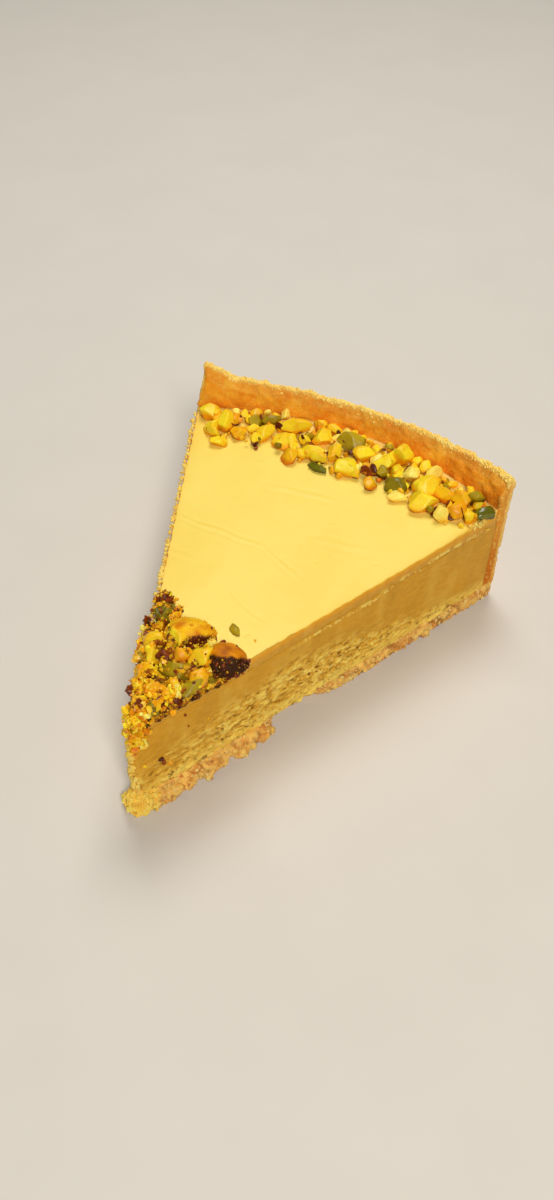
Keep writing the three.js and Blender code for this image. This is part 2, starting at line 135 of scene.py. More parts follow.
# A draw from 0 to 1 for each cell of a grid.
def hashed(cells, seed):
    x, y, z = (cells[..., i].astype(np.int64) for i in range(3))
    mix = (x * 73856093) ^ (y * 19349663) ^ (z * 83492791) ^ (seed * 668265263)
    mix = ((mix ^ (mix >> 13)) * 1274126177) & 0xFFFFFFFF
    mix = ((mix ^ (mix >> 15)) * 2246822519) & 0xFFFFFFFF
    return ((mix ^ (mix >> 16)) & 0xFFFFFF) / 0x1000000


# Smooth noise from -1 to 1 with features of the given size.
def softNoise(points, size, seed):
    scaled = points / size
    cell = np.floor(scaled)
    share = scaled - cell
    share = share * share * (3 - 2 * share)
    total = 0
    for corner in np.ndindex(2, 2, 2):
        weight = np.prod(np.where(np.array(corner), share, 1 - share), -1)
        total = total + weight * hashed(cell + np.array(corner), seed)
    return 2 * total - 1


def layeredNoise(points, size, seed, layers=3):
    total, reach = 0, 0
    for layer in range(layers):
        total = total + softNoise(points, size / 2 ** layer, seed + layer) / 2 ** layer
        reach += 1 / 2 ** layer
    return total / reach


# Distance to the nearest of scattered points, as a share of the size, and that point's own draw.
def cellNoise(points, size, seed):
    scaled = points / size
    cell = np.floor(scaled)
    nearest = np.full(scaled.shape[:-1], 9.0)
    own = np.zeros(scaled.shape[:-1])
    for step in np.ndindex(3, 3, 3):
        other = cell + np.array(step) - 1
        spot = other + np.stack([hashed(other, seed + i) for i in range(3)], -1)
        away = np.linalg.norm(scaled - spot, axis=-1)
        closer = away < nearest
        nearest = np.where(closer, away, nearest)
        own = np.where(closer, hashed(other, seed + 7), own)
    return nearest, own


# A piece of the slice from points in millimetres. Its marks are one number for each point, which
# its material mixes colours by.
def makePiece(name, points, faces, material, slot, node=None, marks=None, smooth=True):
    mesh = bpy.data.meshes.new(name)
    mesh.from_pydata(((np.asarray(points) + tip) * mm).tolist(), [], faces)
    mesh.polygons.foreach_set("use_smooth", [smooth] * len(mesh.polygons))
    for mark, values in (marks or {}).items():
        attribute = mesh.attributes.new(mark, "FLOAT", "POINT")
        attribute.data.foreach_set("value", np.asarray(values, dtype=float).ravel())
    mesh.materials.append(material)
    mesh.update()
    piece = bpy.data.objects.new(name, mesh)
    bpy.context.scene.collection.objects.link(piece)
    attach(piece, "root")
    if node:
        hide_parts(node)
    triangles = sum(len(polygon.vertices) - 2 for polygon in mesh.polygons)
    print(f"made {name}: {triangles} triangles")


# Faces between rings of equal point counts, with a flat cap at both ends.
def loftFaces(rings, count):
    faces = []
    for ring in range(rings - 1):
        for step in range(count):
            following = (step + 1) % count
            lower, upper = ring * count, (ring + 1) * count
            faces.append((lower + step, lower + following, upper + following, upper + step))
    faces.append(tuple(range(count - 1, -1, -1)))
    faces.append(tuple(range((rings - 1) * count, rings * count)))
    return faces


def roundForm(detail):
    shape = bmesh.new()
    bmesh.ops.create_icosphere(shape, subdivisions=detail, radius=1)
    points = np.array([vertex.co for vertex in shape.verts])
    faces = np.array([[vertex.index for vertex in face.verts] for face in shape.faces])
    shape.free()
    return points, faces


def turnMatrix(turn, tilt):
    return np.array(Matrix.Rotation(turn, 3, "Z") @ Matrix.Rotation(tilt, 3, "X"))


facetDepths = (0.45, 0.8)  # of the flats on small lumps, as shares of their half size


# Many small uneven lumps in one mesh. Sizes are across, along and up.
def scatterLumps(places, sizes, seed, detail=1, roughness=0.3, facets=0):
    form, faces = roundForm(detail)
    count = len(places)
    draws = np.random.default_rng(seed)
    turned = draws.normal(size=(count, 4))
    turned /= np.linalg.norm(turned, axis=1, keepdims=True)
    w, x, y, z = turned.T
    spins = np.stack([
        1 - 2 * (y * y + z * z), 2 * (x * y - z * w), 2 * (x * z + y * w),
        2 * (x * y + z * w), 1 - 2 * (x * x + z * z), 2 * (y * z - x * w),
        2 * (x * z - y * w), 2 * (y * z + x * w), 1 - 2 * (x * x + y * y),
    ], 1).reshape(count, 3, 3)
    bumps = 1 + roughness * draws.uniform(-1, 1, (count, len(form), 1))
    shaped = form[None] * bumps
    for _ in range(facets):
        normal = draws.normal(size=(count, 1, 3))
        normal /= np.linalg.norm(normal, axis=2, keepdims=True)
        past = (shaped * normal).sum(2, keepdims=True) - draws.uniform(*facetDepths, (count, 1, 1))
        shaped = shaped - normal * np.maximum(past, 0)
    shaped = shaped * np.asarray(sizes)[:, None, :] / 2
    shaped = np.einsum("nij,nkj->nki", spins, shaped) + np.asarray(places)[:, None, :]
    allFaces = (faces[None] + (np.arange(count) * len(form))[:, None, None]).reshape(-1, 3)
    tones = np.repeat(draws.uniform(0, 1, count), len(form))
    return shaped.reshape(-1, 3), allFaces.tolist(), tones


# Colours are picked as they show on a screen, from 0 to 255.
def linear(colour):
    shares = [part / 255 for part in colour]
    return [c / 12.92 if c <= 0.04045 else ((c + 0.055) / 1.055) ** 2.4 for c in shares] + [1]


def newMaterial(name, look):
    material = bpy.data.materials.new(name)
    material.use_nodes = True
    shader = material.node_tree.nodes["Principled BSDF"]
    shader.inputs["Roughness"].default_value = look["roughness"]
    shader.inputs["Specular IOR Level"].default_value = look["specular"]
    shader.inputs["Subsurface Weight"].default_value = look.get("glow", 0)
    shader.inputs["Subsurface Radius"].default_value = look.get("glowReach", (1, 0.6, 0.2))
    shader.inputs["Subsurface Scale"].default_value = mm
    return material, material.node_tree, shader


def addNode(tree, kind, inputs=None, **settings):
    node = tree.nodes.new(kind)
    for key, value in settings.items():
        setattr(node, key, value)
    for key, value in (inputs or {}).items():
        if isinstance(value, bpy.types.NodeSocket):
            tree.links.new(value, node.inputs[key])
        else:
            node.inputs[key].default_value = value
    return node


def objectPoints(tree, stretch=(1, 1, 1)):
    coordinates = addNode(tree, "ShaderNodeTexCoord").outputs["Object"]
    return addNode(tree, "ShaderNodeMapping", {"Vector": coordinates, "Scale": stretch}).outputs[0]


# Noise with features of a size in millimetres.
def noiseOf(tree, size, detail=3, points=None, roughness=0.55):
    where = points or objectPoints(tree)
    return addNode(tree, "ShaderNodeTexNoise", {
        "Vector": where, "Scale": 1 / (size * mm), "Detail": detail, "Roughness": roughness,
    }).outputs[0]


# Round grains of a size in millimetres, from 1 at their middles to 0.
def grainsOf(tree, size):
    scale = 1 / (size * mm)
    cells = addNode(tree, "ShaderNodeTexVoronoi", {"Vector": objectPoints(tree), "Scale": scale})
    return rangeOf(tree, cells.outputs["Distance"], 0, 0.8, 1, 0)


def markOf(tree, name):
    return addNode(tree, "ShaderNodeAttribute", attribute_name=name).outputs["Fac"]


def rangeOf(tree, value, low, high, newLow=0, newHigh=1):
    return addNode(tree, "ShaderNodeMapRange", {
        0: value, 1: low, 2: high, 3: newLow, 4: newHigh,
    }).outputs[0]


def times(tree, first, second):
    return addNode(tree, "ShaderNodeMath", {0: first, 1: second}, operation="MULTIPLY").outputs[0]


def mixed(tree, share, first, second):
    inputs = {0: share, 6: first, 7: second}
    for key in (6, 7):
        if not isinstance(inputs[key], bpy.types.NodeSocket):
            inputs[key] = linear(inputs[key])
    return addNode(tree, "ShaderNodeMix", inputs, data_type="RGBA").outputs[2]


def bumpOf(tree, height, strength, depth, normal=None):
    inputs = {"Height": height, "Strength": strength, "Distance": depth * mm}
    if normal:
        inputs["Normal"] = normal
    return addNode(tree, "ShaderNodeBump", inputs).outputs[0]


# Where the camera stands, in millimetres from the tip, and how it is turned, in degrees. Its lens
# and sensor are in millimetres, and the nearest and furthest that it sees are in metres.
viewpoint = {
    "place": (93.05, -112.30, 223.04), "azimuth": 27.517, "elevation": 46.715, "roll": 0.978,
    "lens": 33.865, "sensor": 36, "nearest": 0.01, "furthest": 20,
}


def makeCamera():
    azimuth, elevation, roll = (math.radians(viewpoint[key]) for key in ("azimuth", "elevation", "roll"))
    flat = math.cos(elevation)
    towards = Vector((-math.sin(azimuth) * flat, math.cos(azimuth) * flat, -math.sin(elevation)))
    level = Vector((math.cos(azimuth), math.sin(azimuth), 0))
    upright = level.cross(towards)
    right = math.cos(roll) * level + math.sin(roll) * upright
    up = math.cos(roll) * upright - math.sin(roll) * level
    lens = bpy.data.cameras.new("camera")
    lens.lens = viewpoint["lens"]
    lens.sensor_width = viewpoint["sensor"]
    lens.clip_start = viewpoint["nearest"]
    lens.clip_end = viewpoint["furthest"]
    camera = bpy.data.objects.new("camera", lens)
    turn = Matrix((right, up, -towards)).transposed().to_4x4()
    camera.matrix_world = Matrix.Translation((np.array(viewpoint["place"]) + tip) * mm) @ turn
    bpy.context.scene.collection.objects.link(camera)
    bpy.context.scene.camera = camera


# Each light: place and aim in metres, size, power in watts, colour.
lights = {
    "overhead": {
        "at": (-0.15, 0.35, 0.75), "aim": (0, 0, 0.02), "size": 0.4, "power": 3.9, "colour": (1, 0.97, 0.92),
    },
    "front": {
        "at": (0.42, -0.5, 0.74), "aim": (0, 0, 0.02), "size": 0.24, "power": 5.8, "colour": (1, 0.95, 0.88),
    },
}
air = {"colour": (1, 0.98, 0.95), "strength": 0.1}


def makeLights():
    for name, light in lights.items():
        lamp = bpy.data.lights.new(name, "AREA")
        lamp.size = light["size"]
        lamp.energy = light["power"]
        lamp.color = light["colour"]
        lampObject = bpy.data.objects.new(name, lamp)
        lampObject.location = light["at"]
        aim = Vector(light["aim"]) - Vector(light["at"])
        lampObject.rotation_euler = aim.to_track_quat("-Z", "Y").to_euler()
        bpy.context.scene.collection.objects.link(lampObject)
    world = bpy.data.worlds.new("air")
    world.use_nodes = True
    backdrop = world.node_tree.nodes["Background"]
    backdrop.inputs[0].default_value = (*air["colour"], 1)
    backdrop.inputs[1].default_value = air["strength"]
    bpy.context.scene.world = world
    bpy.context.scene.view_settings.view_transform = "Standard"


# The floor lies a hair lower than the slice. Its reach and drop are in metres.
floorLook = {
    "colour": (222, 217, 208), "darker": (216, 211, 202), "cloudSize": 30, "roughness": 0.75, "specular": 0.2,
    "reach": 4, "drop": 0.00005,
}


def makeFloor():
    material, tree, shader = newMaterial("floor", floorLook)
    clouds = noiseOf(tree, floorLook["cloudSize"], 2)
    tree.links.new(mixed(tree, clouds, floorLook["colour"], floorLook["darker"]), shader.inputs["Base Color"])
    mesh = bpy.data.meshes.new("floor")
    corners = [(x * floorLook["reach"], y * floorLook["reach"], -floorLook["drop"])
               for x, y in ((-1, -1), (1, -1), (1, 1), (-1, 1))]
    mesh.from_pydata(corners, [], [(0, 1, 2, 3)])
    mesh.materials.append(material)
    floor = bpy.data.objects.new("floor", mesh)
    bpy.context.scene.collection.objects.link(floor)


# Each part of the relief: size of its features in millimetres, depth and seed.
crustLook = {
    "voxel": 0.485,  # millimetres between the points of its mesh
    "flatBelow": 0.05,  # the underside has no relief up to this height
    "rimLumps": (3.2, 0.6, 12), "baseLumps": (2.7, 1.2, 15), "grains": (1.1, 0.55, 11),
    "dents": (2.3, 0.5, 8), "swells": (5, 0.12, 6), "roughness": 0.85, "fuzz": (1.3, 0.07, 7),
    "warp": (1.6, 0.6, 4), "lumpSpread": (0.4, 1.6), "gapShadeBand": (0.55, 0.9), "gapShadeShare": 0.6,
    "innerRound": 1.5, "innerLean": 1.5,  # the wall's inner edge is worn off this much
    "pale": (255, 220, 116), "brown": (255, 180, 48), "deep": (236, 134, 18), "section": (232, 156, 52),
    # The gap colour is painted shade in the gaps between the base's lumps.
    "scorched": (206, 118, 30), "fringe": (252, 210, 118), "base": (255, 208, 108), "gap": (110, 48, 16),
    "lump": (255, 224, 98), "golden": (246, 166, 56), "baked": (204, 112, 34),
    "fringeRight": 0.85, "fringeLeft": 0.25,  # how pale the outer edge of each cut is
    "crestBrown": 0.85, "outsideBrown": 0.75, "paleAtCut": 0.9,
    "specular": 0.12, "glow": 0.1, "glowReach": (1.2, 0.6, 0.2),
}
# Where its marks fade in or out: heights from the rim's top, the base's top, the cream and the
# floor, distances from a cut, and depths in the wall as shares of its thickness from outside.
shellBands = {
    "crest": (-2.4, -1), "lean": (-7, 0), "base": (-0.4, 0.8), "bare": (-1, 1),
    "scorchedHeight": (12, 28), "fringeHeight": (4, 16), "cut": (0.2, 0.9),
    "wallStart": (-0.3, 0.1), "wallEnd": (1.4, 1.9), "inner": (0.72, 0.95), "outer": (0.05, 0.3),
    "crestInner": (0.3, 0.85), "scorched": (0.1, 0.5), "fringe": (0.15, 0.55), "worn": (0.25, 1),
}
# The pale lump at the tip and the golden one beside it: middle and reach.
tipLumps = {"lump": ((-0.5, 0.6, 3.3), 5.2), "golden": ((-5.2, 2.9, 2.1), 2.7)}
tipLumpBand = (0.8, 1.15)  # they fade out over these shares of their reach


# How browned, crumbly and low each point of the shell is and where its cuts are, from 0 to 1,
# and what is worn off its inner edge, in millimetres.
def shellMarks(points):
    x, y, z = points.T
    angle = np.clip(np.arctan2(x, y), -halfAngle, halfAngle)
    distance = np.hypot(x, y)
    depth = (outerRadius(angle, z) - distance) / wallThickness(z)
    fromCut = (halfAngle - np.abs(np.arctan2(x, y))) * distance
    onTop = fade(z, shellBands["crest"], topOfRim(angle))
    inWall = fade(depth, shellBands["wallStart"]) * (1 - fade(depth, shellBands["wallEnd"]))
    low = 1 - fade(z, shellBands["base"], baseDepth)
    inner = fade(depth, shellBands["inner"]) * fade(z, shellBands["bare"], creamLevel) * (1 - onTop)
    outer = (1 - fade(depth, shellBands["outer"])) * (1 - onTop)
    crest = crustLook["crestBrown"] * onTop * fade(depth, shellBands["crestInner"])
    brown = np.maximum(inner + crest, crustLook["outsideBrown"] * outer)
    section = (1 - fade(fromCut, shellBands["cut"])) * inWall * (1 - low)
    fringe = np.where(x > 0, crustLook["fringeRight"], crustLook["fringeLeft"])
    lowDown = 1 - fade(z, shellBands["scorchedHeight"])
    nearOutside = 1 - fade(depth, shellBands["fringe"])
    marks = {
        "brown": brown * inWall * (1 - crustLook["paleAtCut"] * section),
        "base": low * (1 - 0.6 * outer),
        "section": section,
        "scorched": section * lowDown * fade(depth, shellBands["scorched"]),
        "fringe": fringe * section * nearOutside * fade(z, shellBands["fringeHeight"]),
    }
    for name, (middle, reach) in tipLumps.items():
        away = np.linalg.norm(points - np.array(middle), axis=1)
        marks[name] = 1 - smoothstep(away, reach * tipLumpBand[0], reach * tipLumpBand[1])
    crumbly = [onTop * (1 - 0.5 * marks["brown"]), marks["base"], 0.8 * section, 0.1 + 0.3 * outer]
    worn = fade(z, shellBands["lean"], topOfRim(angle)) * fade(depth, shellBands["worn"]) * inWall
    outwards = np.stack([np.sin(angle), np.cos(angle), 0 * angle], 1)
    wear = worn[:, None] * (crustLook["innerLean"] * outwards - np.array([0, 0, crustLook["innerRound"]]))
    return marks, np.clip(np.maximum.reduce(crumbly), 0, 1), onTop, wear, inner


def crustMaterial():
    material, tree, shader = newMaterial("shortcrust", crustLook)
    patches = rangeOf(tree, noiseOf(tree, 7, 5), 0.35, 0.65)
    wall = mixed(tree, patches, crustLook["brown"], crustLook["deep"])
    colour = mixed(tree, markOf(tree, "brown"), crustLook["pale"], wall)
    for name in ("section", "scorched", "fringe", "base", "golden", "lump"):
        colour = mixed(tree, markOf(tree, name), colour, crustLook[name])
    baked = times(tree, markOf(tree, "base"), rangeOf(tree, noiseOf(tree, 4, 5), 0.46, 0.62, 0, 0.7))
    colour = mixed(tree, baked, colour, crustLook["baked"])
    fine = rangeOf(tree, noiseOf(tree, 1.6, 5), 0.5, 0.75, 0, 0.5)
    colour = mixed(tree, fine, colour, crustLook["deep"])
    light = rangeOf(tree, noiseOf(tree, 0.9, 4), 0.52, 0.68)
    light = times(tree, light, rangeOf(tree, markOf(tree, "brown"), 0, 1, 0.6, 0.2))
    colour = mixed(tree, light, colour, crustLook["pale"])
    # Painted shade in the gaps between the base's lumps.
    colour = mixed(tree, times(tree, markOf(tree, "gap"), crustLook["gapShadeShare"]), colour, crustLook["gap"])
    tree.links.new(colour, shader.inputs["Base Color"])
    grains = bumpOf(tree, grainsOf(tree, 0.7), 0.5, 0.2)
    tree.links.new(bumpOf(tree, noiseOf(tree, 0.35, 3), 0.35, 0.1, grains), shader.inputs["Normal"])
    return material


# A finer mesh of a node's solid, as points from the tip in millimetres with their normals.
def fineMesh(node, voxel):
    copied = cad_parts[node].data.copy()
    shape = bmesh.new()
    shape.from_mesh(copied)
    bmesh.ops.remove_doubles(shape, verts=shape.verts, dist=1e-6)
    shape.to_mesh(copied)
    shape.free()
    helper = bpy.data.objects.new("helper", copied)
    bpy.context.scene.collection.objects.link(helper)
    remesh = helper.modifiers.new("remesh", "REMESH")
    remesh.mode = "VOXEL"
    remesh.voxel_size = voxel * mm
    evaluated = helper.evaluated_get(bpy.context.evaluated_depsgraph_get())
    fine = bpy.data.meshes.new_from_object(evaluated)
    points = np.empty(len(fine.vertices) * 3)
    fine.vertices.foreach_get("co", points)
    normals = np.empty(len(fine.vertices) * 3)
    fine.vertex_normals.foreach_get("vector", normals)
    faces = [tuple(polygon.vertices) for polygon in fine.polygons]
    bpy.data.objects.remove(helper)
    bpy.data.meshes.remove(fine)
    bpy.data.meshes.remove(copied)
    return points.reshape(-1, 3) / mm - tip, normals.reshape(-1, 3), faces


def makeCrust():
    points, normals, faces = fineMesh("crust", crustLook["voxel"])
    marks, crumbly, onTop, wear, inner = shellMarks(points)

    def noiseLayer(key):
        size, depth, seed = crustLook[key]
        return depth * layeredNoise(points, size, seed)

    warped = points + noiseLayer("warp")[:, None]
    relief = noiseLayer("swells") + noiseLayer("fuzz") + inner * noiseLayer("dents")
    gapShade = 0
    for key, where in (("rimLumps", onTop), ("baseLumps", marks["base"]), ("grains", crumbly)):
        size, depth, seed = crustLook[key]
        away, own = cellNoise(warped, size, seed)
        relief = relief + where * depth * (0.5 - away) * lerp(*crustLook["lumpSpread"], own)
        # The base is marked darker in the gaps between its lumps, as painted shade.
        gapShade = np.maximum(gapShade, where * marks["base"] * fade(away, crustLook["gapShadeBand"]))
    onFloor = points[:, 2] < crustLook["flatBelow"]
    points = points + wear + normals * np.where(onFloor, 0, relief)[:, None]
    points[:, 2] = np.maximum(points[:, 2], 0)
    marks["gap"] = gapShade
    makePiece("crust_shell", points, faces, crustMaterial(), "crust", "crust", marks)
    return points, normals, marks, onTop


# Grains in the crumbly parts of the shell: how many, their sizes and how far they stand out.
crustCrumbs = {
    "rim": {
        "count": 3600, "size": (0.3, 1.15), "out": (-0.45, 0.05),
        "light": (255, 231, 134), "dark": (255, 208, 98),
    },
    "base": {
        "count": 4200, "size": (0.3, 1.3), "out": (-0.4, 0.15),
        "light": (255, 236, 148), "dark": (208, 116, 40),
    },
    "lump": {
        "count": 300, "size": (0.5, 2), "out": (-0.1, 0.35),
        "light": (255, 232, 116), "dark": (255, 202, 72),
    },
}
crumbFinish = {"roughness": 0.8, "specular": 0.1, "glow": 0.05}
# Large crumbs are rare, all of them keep clear of the floor, and they gather where it crumbles most.
crumbRule = {"rarity": 2.5, "clearOfFloor": 0.4, "lift": 0.73, "gather": 3, "squash": (0.7, 1.2)}


def crumbMaterial(name, look):
    material, tree, shader = newMaterial(name, {**crumbFinish, **look})
    patches = rangeOf(tree, noiseOf(tree, 3.5, 4), 0.42, 0.6, 0, 0.75)
    colour = mixed(tree, patches, look["light"], look["dark"])
    colour = mixed(tree, times(tree, markOf(tree, "tone"), 0.3), colour, look["dark"])
    fine = rangeOf(tree, noiseOf(tree, 0.6, 3), 0.5, 0.7, 0, 0.4)
    tree.links.new(mixed(tree, fine, colour, look["dark"]), shader.inputs["Base Color"])
    tree.links.new(bumpOf(tree, noiseOf(tree, 0.3, 3), 0.4, 0.1), shader.inputs["Normal"])
    return material


def makeCrustCrumbs(points, normals, marks, onTop):
    draws = np.random.default_rng(4)
    clear = points[:, 2] > crumbRule["clearOfFloor"]
    weights = {
        "rim": onTop * clear * (1.1 - marks["brown"]),
        "base": marks["base"] * clear * (1 - marks["lump"]),
        "lump": marks["lump"] * clear,
    }
    for name, look in crustCrumbs.items():
        weight = weights[name] ** crumbRule["gather"]
        chosen = draws.choice(len(points), look["count"], p=weight / weight.sum())
        size = lerp(*look["size"], draws.uniform(size=len(chosen)) ** crumbRule["rarity"])
        out = size * draws.uniform(*look["out"], len(chosen))
        places = points[chosen] + normals[chosen] * out[:, None]
        sizes = size[:, None] * draws.uniform(*crumbRule["squash"], (len(size), 3))
        places[:, 2] = np.maximum(places[:, 2], sizes.max(1) * crumbRule["lift"])
        lumps, faces, tones = scatterLumps(places, sizes, 8, 1, 0.45, 2)
        material = crumbMaterial(f"{name}_crumbs", look)
        makePiece(f"crust_crumbs_{name}", lumps, faces, material, "crust", None, {"tone": tones}, False)


cutLook = {
    # The dotted line between the cream and the filling: distances from the tip and heights.
    "seamAt": (40, 52, 70, 79, 95, 108), "seamHeights": (25.6, 26.3, 26.2, 27.8, 28.1, 27.4),
    # How far up the crumb is torn: distances from the tip and heights.
    "tornAt": (0, 10, 22, 44, 60, 76, 90, 108), "tornTo": (16, 18, 20, 23, 20, 15.5, 10.5, 8.5),
    "tornBand": (-7, 1), "footBand": (5.5, 9.5), "footFades": (60, 90), "seamFades": (96, 106),
    "warpDepth": 0.5, "crestDepth": 0.5, "clumpDepth": 0.6, "grainDepth": 0.25, "poreDepth": 0.75,
    "wipeDepth": 0.05, "seamDepth": 0.3, "inset": 0.1, "dashHalf": 0.7, "pitDrop": 0.9, "pitHalf": 0.35,
    "band": (216, 156, 32), "lower": (214, 156, 36), "foot": (255, 214, 92), "pale": (255, 222, 104),
    # The hollow shade colour is painted shade for the hollows, pores and pits of a cut.
    "hollowShade": (110, 64, 10), "edge": (238, 166, 28), "roughness": 0.5, "specular": 0.15, "glow": 0.08,
}
# Each layer of a cut's relief: stretch along it and up it, size of the features, seed.
cutLayers = {
    "warp": ((1, 1), 2.2, 20), "patches": ((0.6, 1), 5, 26), "crests": ((0.35, 1), 1.9, 31),
    "clumps": ((0.5, 1), 1.15, 41), "grain": ((0.8, 1), 0.8, 36), "pores": ((0.45, 1), 1.4, 47),
    "wipes": ((0.7, 0.3), 2.4, 55),  # left by the knife on its way down
    "dots": ((1, 0.3), 1.3, 51),
}


# Relief and colour marks of a cut at distances from the tip and heights. Its light and dark marks are partly
# painted highlight and painted shade.
def cutRelief(s, z, side):
    def layer(points, key):
        (along, up), size, seed = cutLayers[key]
        return points * np.array([along, up, 1]), size, seed + side

    flat = np.stack([s, z, np.full_like(s, side * 50.0)], -1)
    warped = flat + cutLook["warpDepth"] * layeredNoise(*layer(flat, "warp"))[..., None]
    tornTo = np.interp(s, cutLook["tornAt"], cutLook["tornTo"])
    patchy = smoothstep(layeredNoise(*layer(flat, "patches")), -0.5, 0.25)
    rough = (1 - fade(z, cutLook["tornBand"], tornTo)) * lerp(0.35, 1, patchy)
    crests = 1 - 3 * np.abs(layeredNoise(*layer(warped, "crests")))
    nearest, own = cellNoise(*layer(warped, "clumps"))
    clumps = (0.5 - nearest) * lerp(0.1, 1.8, own)
    grain = layeredNoise(*layer(flat, "grain"), 2)
    away, hollow = cellNoise(*layer(warped, "pores"))
    pores = smoothstep(lerp(-0.1, 0.4, hollow) - away, 0, 0.08) * smoothstep(rough, 0.1, 0.7)
    wipes = layeredNoise(*layer(flat, "wipes"))

    offSeam = z - np.interp(s, cutLook["seamAt"], cutLook["seamHeights"])
    along = fade(s, cutLook["seamAt"]) * (1 - 0.6 * fade(s, cutLook["seamFades"]))
    dots = layeredNoise(*layer(flat, "dots"), 2)
    dash = np.exp(-((offSeam - 0.2 * dots) / cutLook["dashHalf"]) ** 4)
    dashes = along * dash * smoothstep(dots, -0.15, 0.2)
    pit = np.exp(-((offSeam + cutLook["pitDrop"]) / cutLook["pitHalf"]) ** 2)
    pits = along * pit * smoothstep(dots, 0.05, 0.4)

    out = rough * (cutLook["crestDepth"] * crests + cutLook["clumpDepth"] * clumps)
    out = out + cutLook["grainDepth"] * grain * (0.2 + rough) - cutLook["poreDepth"] * pores
    out = out + cutLook["wipeDepth"] * wipes + cutLook["seamDepth"] * (dashes - pits) - cutLook["inset"]
    # The light mark paints highlight on the crests of the relief and also holds the pale crumbs of the dotted
    # line. The dark mark paints shade in its hollows, pores and pits. Raised wipes are made paler and sunk
    # ones darker.
    height = 0.7 * crests + 1.3 * clumps + 0.4 * grain
    light = 1.4 * rough * smoothstep(height, 0.3, 0.95) + dashes + 0.2 * smoothstep(wipes, 0, 0.6)
    dark = 0.7 * rough * smoothstep(-height, 0.05, 0.6) + 1.4 * pores + pits
    marks = {
        "below": smoothstep(-offSeam, -0.2, 1.2), "rough": rough,
        "light": np.clip(light, 0, 1), "dark": np.clip(dark + 0.1 * smoothstep(-wipes, 0, 0.6), 0, 1),
        "foot": (1 - fade(z, cutLook["footBand"])) * lerp(1, 0.75, fade(s, cutLook["footFades"])),
        "along": side * s * mm, "height": z * mm,
    }
    return out, marks


# Points that run along a cut, drawn out lengthwise by a small stretch.
def cutPoints(tree, stretch):
    along = times(tree, markOf(tree, "along"), stretch)
    return addNode(tree, "ShaderNodeCombineXYZ", {"X": along, "Z": markOf(tree, "height")}).outputs[0]


# The grain of a cut over its colour, and that grain itself. Rough parts are paler of their own. The light
# mark and the light specks add painted highlight on the grain's crests, and the dark mark and the dark specks
# add painted shade in its hollows and pores.
def grainyColour(tree, colour):
    rough = markOf(tree, "rough")
    colour = mixed(tree, times(tree, rough, 0.12), colour, cutLook["pale"])
    colour = mixed(tree, times(tree, markOf(tree, "light"), 0.85), colour, cutLook["pale"])
    colour = mixed(tree, times(tree, markOf(tree, "dark"), 0.65), colour, cutLook["hollowShade"])
    specks = noiseOf(tree, 1.2, 6, cutPoints(tree, 0.5), 0.68)
    paintedHighlightSpecks = times(tree, rangeOf(tree, specks, 0.51, 0.59), rangeOf(tree, rough, 0, 0.8, 0.1, 0.75))
    colour = mixed(tree, paintedHighlightSpecks, colour, cutLook["pale"])
    paintedShadeSpecks = times(tree, rangeOf(tree, specks, 0.45, 0.38), rangeOf(tree, rough, 0, 0.8, 0.12, 0.9))
    return mixed(tree, paintedShadeSpecks, colour, cutLook["hollowShade"]), specks


def cutMaterial():
    material, tree, shader = newMaterial("pistachio_filling", cutLook)
    colour = mixed(tree, markOf(tree, "below"), cutLook["band"], cutLook["lower"])
    cloudy = rangeOf(tree, noiseOf(tree, 9, 3), 0.4, 0.65, 0, 0.3)
    colour = mixed(tree, cloudy, colour, cutLook["edge"])
    colour = mixed(tree, times(tree, markOf(tree, "foot"), 0.85), colour, cutLook["foot"])
    colour, specks = grainyColour(tree, colour)
    tree.links.new(colour, shader.inputs["Base Color"])
    tree.links.new(bumpOf(tree, specks, 0.6, 0.2), shader.inputs["Normal"])
    return material


# The filling bulges from the left cut at the tip, between these heights and up to this distance.
fillingShape = {
    "step": 0.3, "rise": 0.23, "arcSteps": 60, "tipBulge": 1.2,
    "bulgeStart": (7, 11), "bulgeEnd": (18, 22), "bulgeFades": (3, 10), "shortOfRim": 5,
}


def makeFilling():
    rows = np.arange(baseDepth, seamLevel + 0.1, fillingShape["rise"])
    columns = int((cake["radius"] - fillingShape["shortOfRim"]) / fillingShape["step"])
    s = lerp(cake["bluntTip"], insideWall(halfAngle, rows)[:, None], np.linspace(0, 1, columns)[None, :])
    z = np.broadcast_to(rows[:, None], s.shape)
    rightOut, rightMarks = cutRelief(s, z, 1)
    leftOut, leftMarks = cutRelief(s, z, -1)
    inBulge = fade(z, fillingShape["bulgeStart"]) * (1 - fade(z, fillingShape["bulgeEnd"]))
    inBulge = inBulge * (1 - fade(s, fillingShape["bulgeFades"]))
    right = outOfCut(s, 1, rightOut, z)
    left = outOfCut(s, -1, fillingShape["tipBulge"] * inBulge + leftOut, z)[:, ::-1]
    arcs = fillingShape["arcSteps"]
    turn = lerp(halfAngle, -halfAngle, np.arange(1, arcs) / arcs)
    arc = place(insideWall(turn[None, :], rows[:, None]), turn[None, :], rows[:, None])
    points = np.concatenate([right, arc, left], 1)
    none = np.zeros(arc.shape[:2])
    marks = {key: np.concatenate([rightMarks[key], none, leftMarks[key][:, ::-1]], 1) for key in rightMarks}
    faces = loftFaces(len(rows), points.shape[1])
    makePiece("filling_body", points.reshape(-1, 3), faces, cutMaterial(), "filling", "filling", marks)


creamLook = {
    "step": 0.5, "angleSteps": 190, "sideRise": 0.3, "edgePower": 30, "edgeInset": 0.4, "bevel": 0.35,
    "edgeWaves": 0.12, "teeth": 0.35, "climb": 1.3, "climbReach": 0.9, "filmReach": 2.4,
    "burr": 0.9, "burrBand": (88, 104),  # rough at the right edge near the rim
    "top": (250, 223, 104), "warm": (247, 213, 86), "film": (251, 209, 108), "roughness": 0.42,
    "specular": 0.25, "glow": 0.15, "glowReach": (1.5, 1, 0.4),
}
